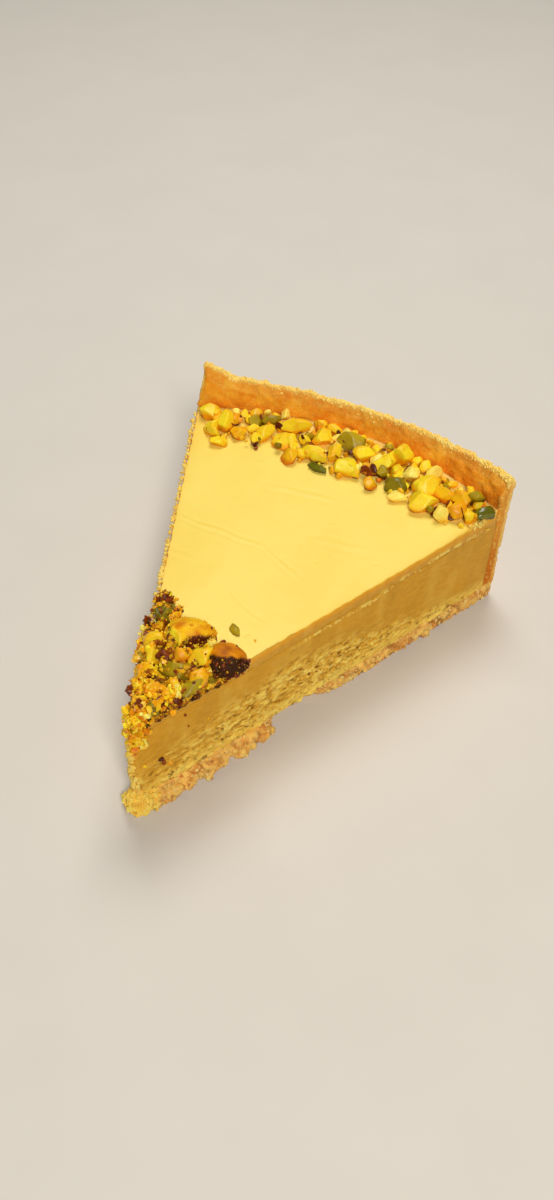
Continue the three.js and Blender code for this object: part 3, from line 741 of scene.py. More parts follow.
# Knife lines on the cream: start and end across and along from the tip, height and width.
scratches = [
    ((-27, 62), (-2, 62.5), 0.16, 0.9), ((-2, 62.5), (11, 57), 0.12, 0.8), ((-12, 83), (6, 86), 0.08, 1.4),
    ((-3, 45), (9, 40), 0.14, 0.8), ((-24, 50), (-14, 51), 0.06, 1.2), ((4, 70), (22, 74), 0.05, 1.6),
]


def distanceToLine(points, start, end):
    start, end = np.array(start, float), np.array(end, float)
    along = end - start
    share = np.clip(((points - start) @ along) / (along @ along), 0, 1)
    return np.linalg.norm(points - start - share[..., None] * along, axis=-1), share


# Low swells, knife lines with a groove beside them, and a few pin holes.
def creamTopRelief(x, y):
    flat = np.stack([x, y, np.zeros_like(x)], -1)
    wavering = flat[..., :2] + 0.5 * uneven(x * 0.3, y * 0.3, 2)[..., None]
    rise = 0.1 * layeredNoise(flat, 16, 71) + 0.035 * layeredNoise(flat * np.array([1, 1.5, 1]), 2.6, 72)
    for start, end, height, width in scratches:
        away, share = distanceToLine(wavering, start, end)
        ends = np.sin(np.pi * np.clip(share, 0.02, 0.98)) ** 0.5
        groove = np.exp(-((away - width) / width * 2) ** 2)
        rise = rise + height * ends * (np.exp(-(away / width * 2) ** 2) - 0.6 * groove)
    nearest, own = cellNoise(flat, 5.5, 73)
    holes = smoothstep(0.1 - nearest, 0, 0.05) * (own < 0.35)
    return rise - 0.15 * holes


def creamMaterial():
    material, tree, shader = newMaterial("pistachio_cream", creamLook)
    clouds = rangeOf(tree, noiseOf(tree, 22, 3, objectPoints(tree, (1, 0.45, 1))), 0.4, 0.65, 0, 0.8)
    colour = mixed(tree, clouds, creamLook["top"], creamLook["warm"])
    colour = mixed(tree, markOf(tree, "film"), colour, creamLook["film"])
    cut = mixed(tree, markOf(tree, "below"), cutLook["band"], cutLook["lower"])
    cut = mixed(tree, times(tree, markOf(tree, "edge"), 0.85), cut, cutLook["edge"])
    cut, specks = grainyColour(tree, cut)
    colour = mixed(tree, markOf(tree, "cut"), colour, cut)
    tree.links.new(colour, shader.inputs["Base Color"])
    soft = bumpOf(tree, noiseOf(tree, 3.2, 4), 0.2, 0.1)
    tree.links.new(bumpOf(tree, noiseOf(tree, 0.5, 3), 0.12, 0.06, soft), shader.inputs["Normal"])
    return material


# How far the cream stands out of a cut: uneven, and with small teeth on the left.
def creamEdge(s, height, side):
    teeth = creamLook["teeth"] * np.maximum(0, uneven(2.4 * s, 0, 10))
    return creamLook["edgeWaves"] * uneven(s, height, 9) + np.where(side < 0, teeth, 0)


# The top of the cream in rows from the tip to the rim: points, distances and angles, and marks.
def creamTop():
    share = np.linspace(0, 1, int(insideWall(0, creamLevel) / creamLook["step"]))[:, None]
    turns = np.linspace(-1, 1, creamLook["angleSteps"])[None, :]
    angle = turns * halfAngle
    side = np.sign(turns)
    s = lerp(cake["bluntTip"], insideWall(angle, creamLevel), share)
    nearCut = np.abs(turns) ** creamLook["edgePower"]
    shift = (creamEdge(s, creamLevel, side) - creamLook["edgeInset"] * nearCut) * nearCut
    top = place(s, angle, creamLevel) + outwardsOf(side) * shift[..., None]
    fromWall = insideWall(angle, creamLevel) - s
    climb = creamLook["climb"] * np.exp(-fromWall / creamLook["climbReach"])  # it creeps up the wall
    burr = creamLook["burr"] * nearCut * fade(s, creamLook["burrBand"]) * (side > 0)
    burr = burr * (0.7 + 0.5 * uneven(3 * s, 0, 14))
    top[..., 2] += creamTopRelief(top[..., 0], top[..., 1]) + climb + burr
    atEdge = (nearCut * np.ones_like(s)).ravel()
    marks = {key: np.zeros(s.size) for key in ("below", "dark", "light", "rough")}
    marks["along"] = (side * s * mm).ravel()
    marks["height"] = np.full(s.size, creamLevel * mm)
    marks["cut"] = atEdge * 0.25
    marks["film"] = np.exp(-fromWall / creamLook["filmReach"]).ravel()
    marks["edge"] = atEdge
    return top, s, angle, marks


def makeCream():
    top, s, angle, topMarks = creamTop()
    rows, columns = s.shape
    faces = []
    for row in range(rows - 1):
        for column in range(columns - 1):
            first = row * columns + column
            faces.append((first, first + 1, first + columns + 1, first + columns))

    # The top's outline: up the right cut, along the wall, down the left cut and across the tip.
    outline = (
        [row * columns + columns - 1 for row in range(rows)]
        + [(rows - 1) * columns + column for column in range(columns - 2, -1, -1)]
        + [row * columns for row in range(rows - 2, -1, -1)]
        + list(range(1, columns - 1))
    )
    count = len(outline)
    column = np.array(outline) % columns
    onRight, onLeft = column == columns - 1, column == 0
    onCut = np.where(onRight | onLeft, 1.0, 0.0)
    outlineS = s.ravel()[outline]
    outlineAngle = np.broadcast_to(angle, s.shape).ravel()[outline]
    points, marks = [top.reshape(-1, 3)], [topMarks]
    upper, start = outline, s.size
    for level in np.arange(seamLevel, creamLevel - 0.3, creamLook["sideRise"])[::-1]:
        ring = place(outlineS, outlineAngle, level)
        ringMarks = {key: np.zeros(count) for key in topMarks}
        bevel = creamLook["bevel"] * smoothstep(level, creamLevel - 0.7, creamLevel)
        for chosen, side in ((onRight, 1), (onLeft, -1)):
            cutS = outlineS[chosen]
            out, cutMarks = cutRelief(cutS, np.full(len(cutS), level), side)
            ring[chosen] = outOfCut(cutS, side, creamEdge(cutS, level, side) + out - bevel, level)
            for key in ringMarks.keys() & cutMarks.keys():
                ringMarks[key][chosen] = cutMarks[key]
        ringMarks["cut"] = onCut
        ringMarks["film"] = 1 - onCut
        ringMarks["edge"] = onCut * smoothstep(level, creamLevel - 2.2, creamLevel - 0.8)
        points.append(ring)
        marks.append(ringMarks)
        lower = list(range(start, start + count))
        for step in range(count):
            following = (step + 1) % count
            faces.append((upper[step], lower[step], lower[following], upper[following]))
        upper, start = lower, start + count
    faces.append(tuple(reversed(upper)))
    merged = {key: np.concatenate([ringMarks[key] for ringMarks in marks]) for key in topMarks}
    makePiece("cream_layer", np.concatenate(points), faces, creamMaterial(), "cream_top", "cream_top", merged)


# Each kind: its own colour, the colour it turns to, and its skin. The colour it turns to is also painted
# shade on the undersides of chopped pieces and in the cracks between their crumbs.
nutLooks = {
    "yellow": {"light": (255, 232, 42), "dark": (244, 156, 6), "skin": (86, 32, 18)},
    "pale": {"light": (255, 246, 118), "dark": (250, 184, 36), "skin": (212, 130, 30)},
    "orange": {"light": (255, 208, 26), "dark": (224, 110, 2), "skin": (112, 44, 14)},
    "green": {"light": (186, 160, 16), "dark": (112, 86, 6), "skin": (84, 34, 18)},
    "olive": {"light": (150, 132, 20), "dark": (76, 72, 10), "skin": (60, 30, 20)},
    "leaf": {
        "light": (128, 126, 14), "dark": (48, 54, 6), "skin": (60, 30, 20), "roughness": 0.2, "specular": 0.5,
    },
    "brown": {"light": (156, 70, 14), "dark": (72, 26, 8), "skin": (60, 22, 14)},
}
nutFinish = {"roughness": 0.36, "specular": 0.28, "glow": 0.15, "glowReach": (1.3, 0.7, 0.1)}
nutMaterials = {}


def nutMaterial(kind):
    if kind in nutMaterials:
        return nutMaterials[kind]
    look = {**nutFinish, **nutLooks[kind]}
    material, tree, shader = newMaterial(f"pistachio_{kind}", look)
    patches = rangeOf(tree, noiseOf(tree, 3.5, 2), 0.45, 0.75, 0, 0.5)
    colour = mixed(tree, patches, look["light"], look["dark"])
    # A high tone turns it to its dark colour. Tones differ at random. On chopped pieces they are also higher
    # on the uncut rind, and higher on the underside and in the cracks between crumbs as painted shade.
    colour = mixed(tree, times(tree, markOf(tree, "tone"), 0.9), colour, look["dark"])
    speckle = rangeOf(tree, noiseOf(tree, 0.8, 3), 0.62, 0.72, 0, 0.25)
    colour = mixed(tree, speckle, colour, look["dark"])
    tree.links.new(mixed(tree, markOf(tree, "skin"), colour, look["skin"]), shader.inputs["Base Color"])
    waves = bumpOf(tree, noiseOf(tree, 1.8, 3), 0.35, 0.25)
    tree.links.new(bumpOf(tree, noiseOf(tree, 0.4, 2), 0.15, 0.08, waves), shader.inputs["Normal"])
    nutMaterials[kind] = material
    return material


# Knife cuts: how many, how they rise, and their depths as shares of the half size. The solid's
# are repeated, and finer ones that only show from close by are added.
solidCuts = {"count": 3, "rise": (-0.9, 0.9), "depth": (0.66, 0.92)}
fineCuts = {"count": 8, "rise": (-0.7, 1.1), "depth": (0.5, 0.82)}
solidPoints = {True: 42, False: 12}  # of a rounded solid and a small one, which took a draw each
# Relief of a piece, in shares of its half size: size of the features, depth and seed, or size
# and seed alone. Long pieces and those deep in crumbs get a finer mesh.
nutRelief = {
    "form": (0.9, 0.08, 81), "grain": (0.3, 0.05, 83), "waves": (0.75, 0.05, 87), "crumbs": (0.42, 85),
    "skin": (0.8, 91), "plump": 1.05, "swell": 1.17, "fineFrom": 4.5, "fineCrust": 0.2,
}


def knifeCut(draw, rule):
    around = draw() * 2 * math.pi
    normal = np.array([math.cos(around), math.sin(around), lerp(*rule["rise"], draw())])
    return normal / np.linalg.norm(normal), lerp(*rule["depth"], draw())


# A chopped kernel with the knife cuts of its solid, in a finer mesh. Crust is how deep the
# crumbs that cover it are, and skin is how much of its brown skin is left.
def choppedNut(draw, sizes, rounded, turn, tilts, middle, skin, seed, crust=0):
    length, width, height = sizes
    cuts = [knifeCut(draw, solidCuts) for _ in range(solidCuts["count"])]
    for _ in range(solidPoints[rounded]):
        draw()
    own = makeDraw(1000 + 77 * seed)
    cuts += [knifeCut(own, fineCuts) for _ in range(fineCuts["count"])]
    form, faces = roundForm(4 if length > nutRelief["fineFrom"] or crust > nutRelief["fineCrust"] else 3)
    shifted = form + np.array([seed * 3.1, seed * 1.7, seed * 0.9])

    def wavy(noise, key):
        size, depth, noiseSeed = nutRelief[key]
        return depth * noise(shifted, size, noiseSeed)

    points = form * (nutRelief["plump"] + wavy(layeredNoise, "form"))[:, None]
    removed = 0
    for normal, depth in cuts:
        past = np.maximum(points @ normal - depth, 0)
        points = points - past[:, None] * normal
        removed = removed + past
    nearest, _ = cellNoise(shifted, *nutRelief["crumbs"])
    relief = wavy(layeredNoise, "grain") + wavy(softNoise, "waves")
    points = points * (nutRelief["swell"] + relief + crust * (0.4 - nearest))[:, None]
    patches = layeredNoise(shifted, *nutRelief["skin"]) - form[:, 2] * 0.5
    skinned = smoothstep(patches, 1.1 - 2.4 * skin, 1.3 - 2.4 * skin) * (skin > 0)
    # The underside is marked to be darker, as painted shade.
    low = smoothstep(-points[:, 2], -0.35, 0.5)
    points = points * np.array([width, length, height]) / 2
    points = points @ turnMatrix(turn, lerp(*tilts, draw())).T + middle
    rind = 1 - smoothstep(removed, 0.01, 0.1)
    # The cracks between the crumbs that cover it are darkened as painted shade.
    crackShade = 2 * crust * smoothstep(nearest, 0.5, 0.8)
    tone = np.clip(0.25 * own() + low + 0.35 * rind + crackShade, 0, 1)
    return points, faces, skinned, tone


# Gathers chopped pieces and makes one mesh of each kind.
class NutTray:
    def __init__(self, name, slot, node):
        self.name, self.slot, self.node = name, slot, node
        self.kinds = {}

    def add(self, kind, points, faces, skin, tone):
        held = self.kinds.setdefault(kind, {"points": [], "faces": [], "skin": [], "tone": [], "count": 0})
        held["faces"].append(np.asarray(faces) + held["count"])
        held["count"] += len(points)
        for key, value in (("points", points), ("skin", skin), ("tone", tone)):
            held[key].append(value)

    def turnOut(self):
        for kind, held in self.kinds.items():
            marks = {"skin": np.concatenate(held["skin"]), "tone": np.concatenate(held["tone"])}
            points, faces = np.concatenate(held["points"]), np.concatenate(held["faces"]).tolist()
            name = f"{self.name}_{kind}"
            makePiece(name, points, faces, nutMaterial(kind), self.slot, self.node, marks)


# Small crumbs of each kind of nut, from lists of places and sizes.
def makeNutCrumbs(name, gathered, slot, node, seed, detail, roughness, smooth=True):
    for kind, parts in gathered.items():
        if not parts:
            continue
        spots, sizes = (np.concatenate([part[i] for part in parts]) for i in range(2))
        lumps, faces, tones = scatterLumps(spots, sizes, seed + len(kind), detail, roughness, 3)
        marks = {"tone": tones, "skin": 0 * tones}
        makePiece(f"{name}_{kind}", lumps, faces, nutMaterial(kind), slot, node, marks, smooth)


# Pieces along the rim: angle off the middle line, distance from the tip, length, width, height,
# turn, rise over the cream, kind, and how much of its skin is left.
rimNuts = [
    (-20.7, 102.8, 4.9, 4.0, 3.2, 30, 0, "yellow", 0.25),
    (-18.9, 104.0, 6.8, 4.4, 4.4, 10, 0.4, "yellow", 0.1),
    (-21.6, 107.6, 5.4, 3.4, 4.0, 70, 0.6, "yellow", 0), (-18.7, 97.2, 5.4, 4.2, 1.9, 75, 0, "yellow", 0),
    (-16.3, 101.2, 5.4, 3.8, 3.2, 40, 0, "orange", 0.1), (-14.4, 106.6, 4.8, 4.4, 3.4, 0, 0, "green", 0.35),
    (-12.4, 107.4, 5.2, 2.6, 2.6, 60, 1.2, "green", 0), (-12.5, 102.3, 6.2, 4.0, 3.4, 20, 0, "yellow", 0.15),
    (-8.4, 106.6, 7.6, 4.2, 3.8, 75, 0.8, "yellow", 0.1), (-9.5, 101.1, 5.8, 5.0, 3.6, 10, 0, "yellow", 0),
    (-7.1, 95.4, 5.0, 4.2, 3.6, 0, 0, "orange", 0), (-4.4, 99.3, 6.9, 5.0, 4.0, 80, 0, "yellow", 0.15),
    (-2.1, 94.8, 6.3, 2.7, 2.2, 95, 0, "leaf", 0), (-4.2, 105.9, 5.4, 5.2, 4.4, 0, 0, "yellow", 0),
    (-1.1, 101.7, 5.2, 4.2, 3.4, 0, 0, "yellow", 0), (0.1, 106.8, 6.8, 6.0, 4.6, 60, 0.8, "green", 0.4),
    (2.3, 97.6, 6.4, 6.0, 4.8, 0, 0, "yellow", 0), (2.8, 104.4, 6.2, 4.4, 3.6, 80, 0.4, "yellow", 0.1),
    (5.1, 101.2, 6.8, 3.4, 2.6, 60, 0, "orange", 0.5), (6.8, 104.3, 9.4, 4.3, 4.2, 25, 1.0, "yellow", 0),
    (6.8, 95.8, 3.8, 3.4, 3.4, 0, 0, "orange", 0.3), (8.2, 107.6, 6.2, 4.6, 4.6, 15, 2.6, "yellow", 0),
    (10.2, 99.4, 6.2, 5.0, 3.6, 0, 0, "olive", 0.3), (11.0, 104.2, 5.2, 4.0, 3.6, 80, 1.2, "pale", 0.1),
    (11.8, 96.2, 5.6, 3.5, 1.8, 70, 0.4, "pale", 0.1), (14.2, 103.2, 7.4, 5.4, 4.8, 20, 0.6, "yellow", 0),
    (15.3, 98.2, 8.4, 6.0, 4.6, 60, 0, "yellow", 0.1), (13.2, 107.6, 4.8, 4.0, 4.0, 0, 1.4, "pale", 0),
    (16.6, 103.8, 6.4, 3.8, 3.6, 75, 1.0, "orange", 0), (19.4, 105.8, 7.0, 5.0, 4.4, 40, 0.8, "orange", 0),
    (20.4, 107.9, 5.2, 3.6, 3.6, 80, 2.0, "green", 0.4), (19.1, 98.6, 5.8, 4.2, 3.4, 0, 0, "pale", 0),
    (20.1, 101.8, 5.0, 4.4, 4.0, 0, 0, "orange", 0), (22.7, 106.4, 5.6, 5.0, 3.6, 20, 0, "leaf", 0),
]
# Smaller ones fill the band between them. Inner is its near edge, evenly from left to right.
nutRule = {
    "sink": 0.42, "roundFrom": 6, "seed": 41, "tilt": (-0.25, 0.25), "count": 30, "size": (3.2, 5),
    "fillerSink": 0.32, "room": 0.62, "end": 22.4, "inner": (98, 95, 94.5, 95, 97), "outer": 108.2,
    "kinds": ("yellow", "yellow", "orange", "yellow", "pale", "yellow", "green", "yellow", "yellow", "pale"),
}
# A fleck alone on the cream: across and along from the tip and over the cream, sizes and turn.
greenFleck = {"at": (5.2, 35.4, 0.3), "sizes": (4, 1.9, 1.1), "turn": math.radians(70), "seed": 290}
# Smaller pieces heaped against the foot of the wall: how many, their sizes, how far they lie
# from the wall and how high over the cream.
wallNuts = {
    "count": 34, "size": (2.6, 4.4), "fromWall": (1, 2.8), "rise": (0.6, 3), "end": 22.2, "tilt": (-0.5, 0.5),
    "skin": 0.1, "firstSeed": 300,
}


# Where the pieces of the rim lie, with their sizes, turn, kind, skin and whether they are rounded.
def rimSpots(draw):
    spots = []
    for degrees, distance, length, width, height, turn, rise, kind, skin in rimNuts:
        middle = place(distance, math.radians(degrees), creamLevel + rise + height * nutRule["sink"])
        turned = math.radians(-degrees - turn)
        spots.append((middle, (length, width, height), turned, length > nutRule["roundFrom"], kind, skin))
    placed = 0
    while placed < nutRule["count"]:
        share, across = draw(), draw()
        size = lerp(*nutRule["size"], draw())
        inner = nutRule["inner"][int(share * len(nutRule["inner"]))]
        distance = lerp(inner, nutRule["outer"], math.sqrt(across))
        angle = math.radians(lerp(-nutRule["end"], nutRule["end"], share ** 0.8))
        middle = place(distance, angle, creamLevel + size * nutRule["fillerSink"])
        if all(np.linalg.norm(other[0][:2] - middle[:2]) >= size * nutRule["room"] for other in spots):
            sizes = (size, size * lerp(0.7, 0.9, draw()), size * lerp(0.6, 0.85, draw()))
            kind = nutRule["kinds"][placed % len(nutRule["kinds"])]
            spots.append((middle, sizes, draw() * math.pi, False, kind, 0.22 * (placed % 3)))
            placed += 1
    return spots


def makeRimNuts():
    draw = makeDraw(nutRule["seed"])
    tray = NutTray("rim_nuts", "cream_top", "cream_top")
    for index, (middle, sizes, turn, rounded, kind, skin) in enumerate(rimSpots(draw)):
        tray.add(kind, *choppedNut(draw, sizes, rounded, turn, nutRule["tilt"], middle, skin, index))
    own = makeDraw(7)
    middle = np.array(greenFleck["at"]) + np.array([0, 0, creamLevel])
    fleck = (own, greenFleck["sizes"], False, greenFleck["turn"], (0, 0.1), middle, 0, greenFleck["seed"])
    tray.add("green", *choppedNut(*fleck))
    for index in range(wallNuts["count"]):
        angle = math.radians(lerp(-wallNuts["end"], wallNuts["end"], (index + own()) / wallNuts["count"]))
        distance = insideWall(angle, creamLevel + 2) - lerp(*wallNuts["fromWall"], own())
        size = lerp(*wallNuts["size"], own())
        middle = place(distance, angle, creamLevel + lerp(*wallNuts["rise"], own()))
        kind = nutRule["kinds"][int(own() * len(nutRule["kinds"]))]
        sizes = (size, size * lerp(0.6, 0.85, own()), size * lerp(0.5, 0.8, own()))
        turn, seed = own() * math.pi, wallNuts["firstSeed"] + index
        tray.add(kind, *choppedNut(own, sizes, False, turn, wallNuts["tilt"], middle, wallNuts["skin"], seed))
    tray.turnOut()


# Its lumps and grains have a size, depth and seed. Its crumbs hang down over the tip as far as
# the drop, and the dark clump is its far left end.
heapLook = {
    "seed": 23, "voxel": 0.33, "shrink": 0.35, "length": 30, "depth": 2.2, "lumps": (1.25, 0.75, 101),
    "grains": (0.75, 0.35, 103), "crumbs": 40, "crumbSize": (2.4, 3.8), "dropDepth": 6.5, "dropReach": 6,
    "dropSizes": (3.2, 2.8, 3), "dropKinds": 6, "clumpFrom": 27, "clumpInside": -4,
    "tilt": (0, 0.3), "clumpCrust": 0.5, "nutCrust": 0.08, "crumbCrust": 0.4,
    # The dark colour is that of the darkest crumbs, and it is also painted shade between the core's lumps.
    "light": (232, 174, 20), "middle": (160, 86, 10), "dark": (58, 24, 6), "roughness": 0.6,
    "specular": 0.15, "glow": 0.12, "glowReach": (1.2, 0.7, 0.15),
    "kinds": (
        "yellow", "orange", "yellow", "orange", "yellow", "pale", "green", "yellow", "orange", "yellow",
    ),
}
# Pieces that show in the heap: across and along from the tip, rise over the cream, length,
# width, turn, kind, and how much of its skin is left.
heapNuts = [
    (-2.6, 22.9, 4.6, 6.4, 5.2, 20, "yellow", 0), (5.8, 21.4, 4.2, 6.6, 5.6, 10, "yellow", 0),
    (1.7, 16.8, 4.0, 8.0, 4.2, 80, "green", 0), (6.6, 14.8, 2.2, 7.6, 3.8, 25, "green", 0.2),
    (6.4, 17.6, 3.0, 5.0, 4.2, 0, "orange", 0.1), (0.7, 19.6, 5.2, 4.6, 3.6, 70, "orange", 0.2),
    (-1.8, 18.0, 4.6, 4.2, 3.2, 40, "brown", 0.5), (-4.8, 13.4, 2.6, 4.6, 4.0, 0, "orange", 0.1),
    (-6.6, 21.4, 3.4, 5.2, 4.2, 60, "yellow", 0.1), (-5.2, 17.4, 3.4, 5.0, 4.4, 30, "yellow", 0),
    (-9.6, 29.8, 2.6, 5.8, 5.2, 0, "olive", 0.5), (-11.6, 32.6, 2.2, 5.6, 4.8, 30, "brown", 0.5),
    (-13.4, 35.2, 1.4, 4.6, 4.0, 20, "orange", 0.5), (-7.8, 31.4, 2.8, 5.6, 2.4, 20, "orange", 0.3),
]
# Crumbs gather in little heaps: how many heaps, crumbs in each, their sizes, how far a heap
# spreads, and the share of each kind towards the tip, in the middle and in the dark clump.
heapCrumbs = {
    "heaps": 70, "each": (5, 14), "size": (0.5, 2), "spread": 0.7, "rarity": 1.6, "squash": (0.55, 1.25),
    "singles": 600, "singleSize": (0.3, 0.9), "onClump": 90, "onOthers": 12, "onSize": (0.35, 1.3),
    "tipEnds": 15, "over": 0.4,  # distance from the tip, height over the cream
    "shares": {
        "tip": {"yellow": 0.44, "pale": 0.14, "orange": 0.24, "brown": 0.18},
        "middle": {"yellow": 0.34, "pale": 0.08, "orange": 0.26, "green": 0.06, "brown": 0.26},
        "clump": {"brown": 0.42, "green": 0.12, "orange": 0.3, "pale": 0.02, "yellow": 0.14},
    },
    # Thin brown skins: how many in the clump and elsewhere, their sizes and how far they stand off.
    "flakes": (16, 14), "flake": (2.2, 1.2, 0.25), "flakeLift": (0.1, 0.6), "flakeSpread": (0.6, 1.3),
}


def inClump(where):
    return (where[..., 1] > heapLook["clumpFrom"]) & (where[..., 0] < heapLook["clumpInside"])


def heapMaterial():
    material, tree, shader = newMaterial("ground_pistachio", heapLook)
    tone = markOf(tree, "tone")
    colour = mixed(tree, rangeOf(tree, tone, 0.3, 0.7), heapLook["light"], heapLook["middle"])
    colour = mixed(tree, rangeOf(tree, tone, 0.8, 0.9), colour, heapLook["dark"])
    # The deep mark is painted shade between the core's lumps, and it is darker all over the dark clump.
    colour = mixed(tree, markOf(tree, "deep"), colour, heapLook["dark"])
    tree.links.new(colour, shader.inputs["Base Color"])
    grains = bumpOf(tree, grainsOf(tree, 0.6), 0.6, 0.25)
    tree.links.new(bumpOf(tree, noiseOf(tree, 0.3, 3), 0.4, 0.1, grains), shader.inputs["Normal"])
    return material


# The heap's core, which is a little smaller than its solid and covered with lumps. The low parts between its
# lumps are painted darker, as shade.
def makeHeapCore():
    points, normals, faces = fineMesh("tip_heap", heapLook["voxel"])
    lumpSize, lumpDepth, lumpSeed = heapLook["lumps"]
    grainSize, grainDepth, grainSeed = heapLook["grains"]
    nearest, own = cellNoise(points, lumpSize, lumpSeed)
    finer, tone = cellNoise(points, grainSize, grainSeed)
    out = lumpDepth * (0.5 - nearest) * lerp(0.5, 1.4, own) + grainDepth * (0.5 - finer) - heapLook["shrink"]
    surface = points + normals * out[:, None]
    # Deep marks the low parts between the lumps, darkened as painted shade, and it is higher all over the
    # dark clump.
    deep = np.clip(smoothstep(nearest, 0.4, 0.75) + 0.6 * inClump(points), 0, 1)
    marks = {"tone": lerp(tone, own, 0.5), "deep": deep}
    makePiece("heap_core", surface, faces, heapMaterial(), "tip_heap", "tip_heap", marks)
    return points, normals, surface


# The pieces that show, the lumps between them and those that hang over the tip.
def makeHeapNuts():
    draw = makeDraw(heapLook["seed"])
    tray = NutTray("heap_nuts", "tip_heap", "tip_heap")
    kinds, tilt = heapLook["kinds"], heapLook["tilt"]
    chunks = []
    for index, (x, y, rise, length, width, turn, kind, skin) in enumerate(heapNuts):
        middle = np.array([x, y, creamLevel + rise])
        sizes, turned = (length, width, width * 0.95), math.radians(-turn)
        crust = heapLook["clumpCrust"] if y > heapLook["clumpFrom"] else heapLook["nutCrust"]
        made = choppedNut(draw, sizes, True, turned, tilt, middle, skin, 70 + index, crust)
        tray.add(kind, *made)
        chunks.append((made[0], middle))
    for index in range(heapLook["crumbs"]):
        s = lerp(0.5, 0.9 * heapLook["length"], draw() ** 0.7)
        across = lerp(-1.08, 1, draw())
        size = lerp(*heapLook["crumbSize"], draw())
        rise = heapLook["depth"] * lerp(0.5, 1.1, draw())
        middle = np.array([s * math.tan(halfAngle) * across, s, creamLevel + rise])
        turn, sizes = math.pi * draw(), (size, size, size * 0.8)
        made = choppedNut(draw, sizes, False, turn, tilt, middle, 0, 120 + index, heapLook["crumbCrust"])
        tray.add(kinds[index % len(kinds)], *made)
    for index, drop in enumerate(np.arange(0.2, 1, 0.11)):
        side = 1 if draw() < 0.7 else -1
        s = lerp(0.6, heapLook["dropReach"] * (1.1 - drop), draw())
        middle = outOfCut(s, side, lerp(0.3, 0.9, draw()), creamLevel - drop * heapLook["dropDepth"])
        sizes, crust = heapLook["dropSizes"], heapLook["crumbCrust"]
        made = choppedNut(draw, sizes, False, 0, tilt, middle, 0, 170 + index, crust)
        tray.add(kinds[index % heapLook["dropKinds"]], *made)
    tray.turnOut()
    return chunks


# Crumbs in little heaps, single ones, those that stick to the pieces, and flakes of skin.
def makeHeapCrumbs(points, normals, surface, chunks):
    draws = np.random.default_rng(12)
    overCream = points[:, 2] > creamLevel + heapCrumbs["over"]
    showing = (normals[:, 2] > -0.3) & (points[:, 2] > creamLevel - heapLook["dropDepth"] - 1)
    showing &= overCream | (points[:, 1] < heapLook["dropReach"])
    for x, y, rise, length, width, *_ in heapNuts:
        covered = np.hypot(points[:, 0] - x, points[:, 1] - y) < 0.36 * length
        showing &= ~covered | (y > heapLook["clumpFrom"])
    candidates = np.flatnonzero(showing)
    gathered = {kind: [] for kind in nutLooks}

    def pickKind(where):
        part = "tip" if where[1] < heapCrumbs["tipEnds"] else "clump" if inClump(where) else "middle"
        shares = heapCrumbs["shares"][part]
        return draws.choice(list(shares), p=list(shares.values()))

    def addCrumbs(kind, places, size):
        gathered[kind].append((places, size[:, None] * draws.uniform(*heapCrumbs["squash"], (len(size), 3))))

    for spot in draws.choice(candidates, heapCrumbs["heaps"]):
        count = draws.integers(*heapCrumbs["each"])
        away = draws.normal(0, heapCrumbs["spread"], (count, 3))
        away -= (away @ normals[spot])[:, None] * normals[spot]
        lift = 0.9 - 0.45 * np.linalg.norm(away, axis=1)
        size = lerp(*heapCrumbs["size"], draws.uniform(size=count) ** heapCrumbs["rarity"])
        addCrumbs(pickKind(points[spot]), surface[spot] + away + normals[spot] * lift[:, None], size)
    for spot in draws.choice(candidates, heapCrumbs["singles"]):
        size = lerp(*heapCrumbs["singleSize"], draws.uniform(size=1))
        addCrumbs(pickKind(points[spot]), surface[spot][None] + normals[spot] * size * 0.3, size)
    for chunk, middle in chunks:
        upper = chunk[chunk[:, 2] > max(middle[2] - 1, creamLevel)]
        for spot in draws.choice(upper, heapCrumbs["onClump" if inClump(middle) else "onOthers"]):
            addCrumbs(pickKind(middle), spot[None], lerp(*heapCrumbs["onSize"], draws.uniform(size=1) ** 2))
    candidates = candidates[overCream[candidates]]
    dark = inClump(points[candidates])
    for where, count in zip((dark, ~dark), heapCrumbs["flakes"]):
        spots = draws.choice(candidates[where], count)
        places = surface[spots] + normals[spots] * draws.uniform(*heapCrumbs["flakeLift"], (count, 1))
        sizes = heapCrumbs["flake"] * draws.uniform(*heapCrumbs["flakeSpread"], (count, 3))
        gathered["brown"].append((places, sizes))
    makeNutCrumbs("heap_crumbs", gathered, "tip_heap", "tip_heap", 20, 1, 0.4, False)


# The two whole kernels: sizes along, across and up, middle and turn, as in the solids. Skin
# towards is the way that the skinned side faces.
kernels = {
    "golden_kernel": {
        "sizes": (11, 7.8, 6.6), "middle": (-1, 26.9, creamLevel + 3.9), "turn": -62,
        "light": (250, 196, 24), "dark": (212, 124, 8), "skin": (84, 34, 10),
        "skinTowards": (0.55, -0.55, -0.62), "skinFrom": 0.22, "rough": 0.2, "grains": 90, "dust": 420,
    },
    "brown_kernel": {
        "sizes": (9.4, 7.6, 7), "middle": (10.2, 24, creamLevel + 3.7), "turn": -70,
        "light": (232, 146, 10), "dark": (170, 90, 8), "skin": (64, 34, 10),
        "skinTowards": (0.3, -0.75, -0.6), "skinFrom": -0.3, "rough": 0.16, "grains": 110, "dust": 12,
    },
}
kernelFinish = {"roughness": 0.5, "specular": 0.12, "glow": 0.15, "glowReach": (1.8, 0.9, 0.15)}
kernelShape = {"taper": 0.18, "ridges": 5, "ridgeDepth": 0.03, "skinEdge": 0.16, "skinDepth": 0.7}


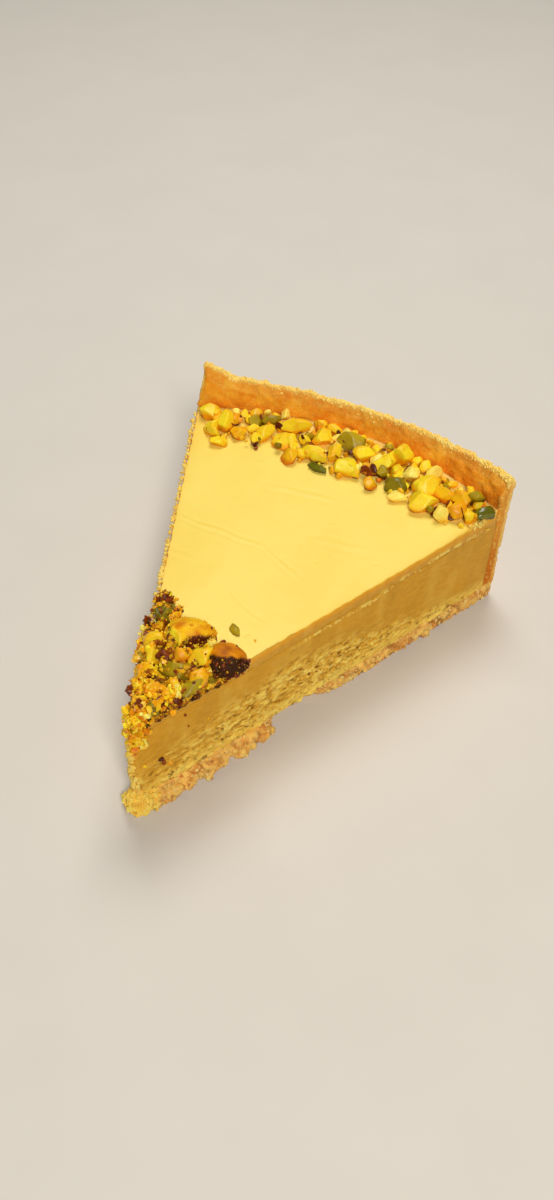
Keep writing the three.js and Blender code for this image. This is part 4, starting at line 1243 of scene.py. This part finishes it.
def kernelMaterial(name, look):
    material, tree, shader = newMaterial(name, {**look, **kernelFinish})
    patches = rangeOf(tree, noiseOf(tree, 3, 3), 0.35, 0.7)
    colour = mixed(tree, patches, look["light"], look["dark"])
    fine = rangeOf(tree, noiseOf(tree, 0.7, 3), 0.55, 0.7, 0, 0.35)
    colour = mixed(tree, fine, colour, look["dark"])
    tree.links.new(mixed(tree, markOf(tree, "skin"), colour, look["skin"]), shader.inputs["Base Color"])
    waves = bumpOf(tree, noiseOf(tree, 1.6, 3), 0.4, 0.3)
    tree.links.new(bumpOf(tree, noiseOf(tree, 0.4, 3), 0.3, 0.1, waves), shader.inputs["Normal"])
    return material


# Broken skin and crumbs that stick to the dark side of a kernel, with a few pale crumbs that also stand in
# for glints, as painted highlight.
def grainsOnKernel(name, placed, normals, skin, look, number):
    draws = np.random.default_rng(60 + number)
    above = placed[:, 2] > creamLevel + 0.6
    weight = (skin + 0.02) * above
    dusty = above * smoothstep(-normals[:, 2], -0.9, 0.3)
    count = look["grains"]
    # The pale grains are pale crumbs and also painted highlight, standing in for glints on the dark skin.
    kinds = (("brown", weight, count, (0.5, 1.5)), ("orange", weight + 0.1 * above, count // 4, (0.3, 0.8)),
             ("pale", weight, count // 5, (0.2, 0.5)), ("yellow", dusty, look["dust"], (0.2, 0.7)))
    for kind, spread, amount, size in kinds:
        chosen = draws.choice(len(placed), amount, p=spread / spread.sum())
        across = lerp(*size, draws.uniform(size=len(chosen)) ** 2)
        spots = placed[chosen] + normals[chosen] * across[:, None] * 0.15
        sizes = across[:, None] * draws.uniform(0.5, 1.2, (len(chosen), 3))
        points, faces, tones = scatterLumps(spots, sizes, 70 + number, 1, 0.4, 2)
        marks = {"tone": tones, "skin": 0 * tones}
        makePiece(f"{name}_grains_{kind}", points, faces, nutMaterial(kind), name, name, marks)


def makeKernels():
    for number, (name, look) in enumerate(kernels.items()):
        form, faces = roundForm(5)
        length, width, height = (size / 2 for size in look["sizes"])
        along = form[:, 1]
        taper = 1 - kernelShape["taper"] * along
        around = kernelShape["ridges"] * np.arctan2(form[:, 2], form[:, 0])
        ridges = 1 + kernelShape["ridgeDepth"] * np.cos(around + 2 * along) * (1 - along ** 2)
        shifted = form + 9.0 * number
        wrinkled = ridges + look["rough"] * layeredNoise(shifted * np.array([1, 0.6, 1]), 0.7, 111)
        points = form * np.stack([width * taper, np.full_like(along, length), height * taper], 1)
        points = points * wrinkled[:, None] @ turnMatrix(math.radians(look["turn"]), 0).T
        normals = points / np.linalg.norm(points, axis=1)[:, None]
        towards = np.array(look["skinTowards"]) / np.linalg.norm(look["skinTowards"])
        facing = normals @ towards + 0.25 * layeredNoise(points, 2.2, 113)
        skin = smoothstep(facing, look["skinFrom"], look["skinFrom"] + kernelShape["skinEdge"])
        crusty, _ = cellNoise(points, 0.9, 117)
        points = points + normals * (skin * kernelShape["skinDepth"] * (0.5 - crusty))[:, None]
        placed = points + np.array(look["middle"])
        material = kernelMaterial(f"{name}_skin", look)
        makePiece(f"{name}_whole", placed, faces.tolist(), material, name, name, {"skin": skin})
        grainsOnKernel(name, placed, normals, skin, look, number)


# Chips between the pistachios of the rim: how many of each kind, and their sizes.
rimChips = {
    "yellow": (90, (0.9, 2.4)), "orange": (100, (0.8, 2.2)), "pale": (50, (0.8, 2.0)),
    "brown": (60, (0.7, 1.6)), "green": (20, (0.9, 2.2)),
}
# They lie between two angles, from a little nearer the tip than the pistachios to the wall.
chipRule = {
    "ends": (-22.6, 22.9), "outer": 110.2, "nearer": 0.5, "rarity": 1.5, "stacked": (0, 0, 1.2),
    "squash": (0.6, 1.2),
}
# Thin flakes of brown skin between the pistachios: how many, their sizes and where they lie.
skinFlakes = {
    "count": 40, "length": (1.4, 3.2), "width": (0.9, 2), "thickness": 0.3, "ends": (-21.5, 21.5),
    "distance": (98, 108.5), "rise": (0.8, 3.4),
}
# Flecks on the right cut: distance from the tip, height, size and kind.
cutFlecks = [
    (6.8, 14.6, 1.5, "brown"), (7.4, 12.8, 1.3, "brown"), (9, 11.4, 1.7, "orange"),
    (2.6, 15.6, 1.3, "yellow"), (14, 25, 1, "brown"), (14.6, 20.6, 0.6, "brown"), (20, 19, 0.6, "orange"),
]
# Flecks on the cream: across and along from the tip, sizes and kind.
creamFlecks = [(5.0, 30.8, (1.9, 1.2, 0.9), "brown"), (11, 34.8, (0.7, 0.6, 0.4), "yellow")]


def makeChips():
    draws = np.random.default_rng(31)
    gathered = {}
    inners = nutRule["inner"]
    for kind, (count, sizeRange) in rimChips.items():
        share = draws.uniform(size=count)
        angle = np.radians(lerp(*chipRule["ends"], share ** 0.8))
        inner = np.interp(share, np.linspace(0, 1, len(inners)), inners) - chipRule["nearer"]
        distance = lerp(inner, chipRule["outer"], np.sqrt(draws.uniform(size=count)))
        size = lerp(*sizeRange, draws.uniform(size=count) ** chipRule["rarity"])
        spots = place(distance, angle, creamLevel + 0.35 * size + draws.choice(chipRule["stacked"], count))
        gathered[kind] = [(spots, size[:, None] * draws.uniform(*chipRule["squash"], (count, 3)))]
    count = skinFlakes["count"]
    angle = np.radians(lerp(*skinFlakes["ends"], draws.uniform(size=count)))
    distance = draws.uniform(*skinFlakes["distance"], count)
    spots = place(distance, angle, creamLevel + draws.uniform(*skinFlakes["rise"], count))
    length, width = (lerp(*skinFlakes[key], draws.uniform(size=count)) for key in ("length", "width"))
    gathered["brown"].append((spots, np.stack([length, width, np.full(count, skinFlakes["thickness"])], 1)))
    for s, height, size, kind in cutFlecks:
        gathered[kind].append((outOfCut(s, 1, 0.1, height)[None], np.array([[size, size * 0.8, size * 0.7]])))
    for x, y, size, kind in creamFlecks:
        gathered[kind].append((np.array([[x, y, creamLevel + 0.25]]), np.array([size])))
    makeNutCrumbs("chips", gathered, "cream_top", None, 40, 2, 0.1)


edgeLook = {
    "light": (255, 226, 122), "dark": (246, 194, 80), "roughness": 0.7, "specular": 0.12, "glow": 0.25,
}
# Pale crumbs of cream: how many, where along the cut, how far out of it, at what heights, their
# sizes, and how rare the large ones are. The seam's heights over the dotted line and the burr's
# places along the cut are a middle and a spread.
edgeCrumbs = {
    "left": {
        "count": 320, "along": (14, 110), "out": (0, 0.6), "height": (29.8, 30.8),
        "size": (0.4, 1.3), "rarity": 2,
    },
    "seam": {
        "count": 90, "along": (52, 108), "out": 0.05, "height": (0, 0.3),
        "size": (0.3, 0.75), "rarity": 1.5,
    },
    "burr": {
        "count": 26, "along": (103, 1.3), "out": (-0.6, 0.4), "height": (30.4, 31.8),
        "size": (0.5, 1.5), "rarity": 2,
    },
    "tip": {
        "count": 130, "along": (0.6, 4.5), "out": (0, 1.6), "height": (6, 20),
        "size": (0.6, 2.2), "rarity": 2,
    },
    "squash": (0.7, 1.25),
}


# Pale crumbs along the left edge, in the dotted line of both cuts, at the burr and at the tip.
def makeEdgeCrumbs():
    draws = np.random.default_rng(17)

    def spread(group, key, kind=draws.uniform):
        return kind(*edgeCrumbs[group][key], edgeCrumbs[group]["count"])

    def sizesOf(group):
        rule = edgeCrumbs[group]
        return lerp(*rule["size"], draws.uniform(size=rule["count"]) ** rule["rarity"])

    left = outOfCut(spread("left", "along"), -1, spread("left", "out"), spread("left", "height"))
    size = [sizesOf("left")]
    s = spread("seam", "along")
    side = np.where(draws.uniform(size=len(s)) < 0.5, 1, -1)
    height = np.interp(s, cutLook["seamAt"], cutLook["seamHeights"]) + spread("seam", "height", draws.normal)
    seam = outOfCut(s, side, edgeCrumbs["seam"]["out"], height)
    size.append(sizesOf("seam"))
    burr = outOfCut(spread("burr", "along", draws.normal), 1, spread("burr", "out"), spread("burr", "height"))
    size.append(sizesOf("burr"))
    height = spread("tip", "height")
    atTip = outOfCut(spread("tip", "along"), -1, spread("tip", "out"), height)
    size.append(sizesOf("tip"))
    size = np.concatenate(size)
    sizes = size[:, None] * draws.uniform(*edgeCrumbs["squash"], (len(size), 3))
    points, faces, tones = scatterLumps(np.concatenate([left, seam, burr, atTip]), sizes, 9, 1, 0.3)
    material = crumbMaterial("cream_crumbs", edgeLook)
    makePiece("cream_crumbs", points, faces, material, "cream_top", None, {"tone": tones})


makeCamera()
makeLights()
makeFloor()
print("camera, lights and floor are in place")
makeCrustCrumbs(*makeCrust())
print("the shell is baked")
makeFilling()
makeCream()
print("filling and cream are in it")
makeRimNuts()
makeHeapCrumbs(*makeHeapCore(), makeHeapNuts())
makeKernels()
print("the nuts are on")
makeChips()
makeEdgeCrumbs()
print("chips, flecks and crumbs are scattered")
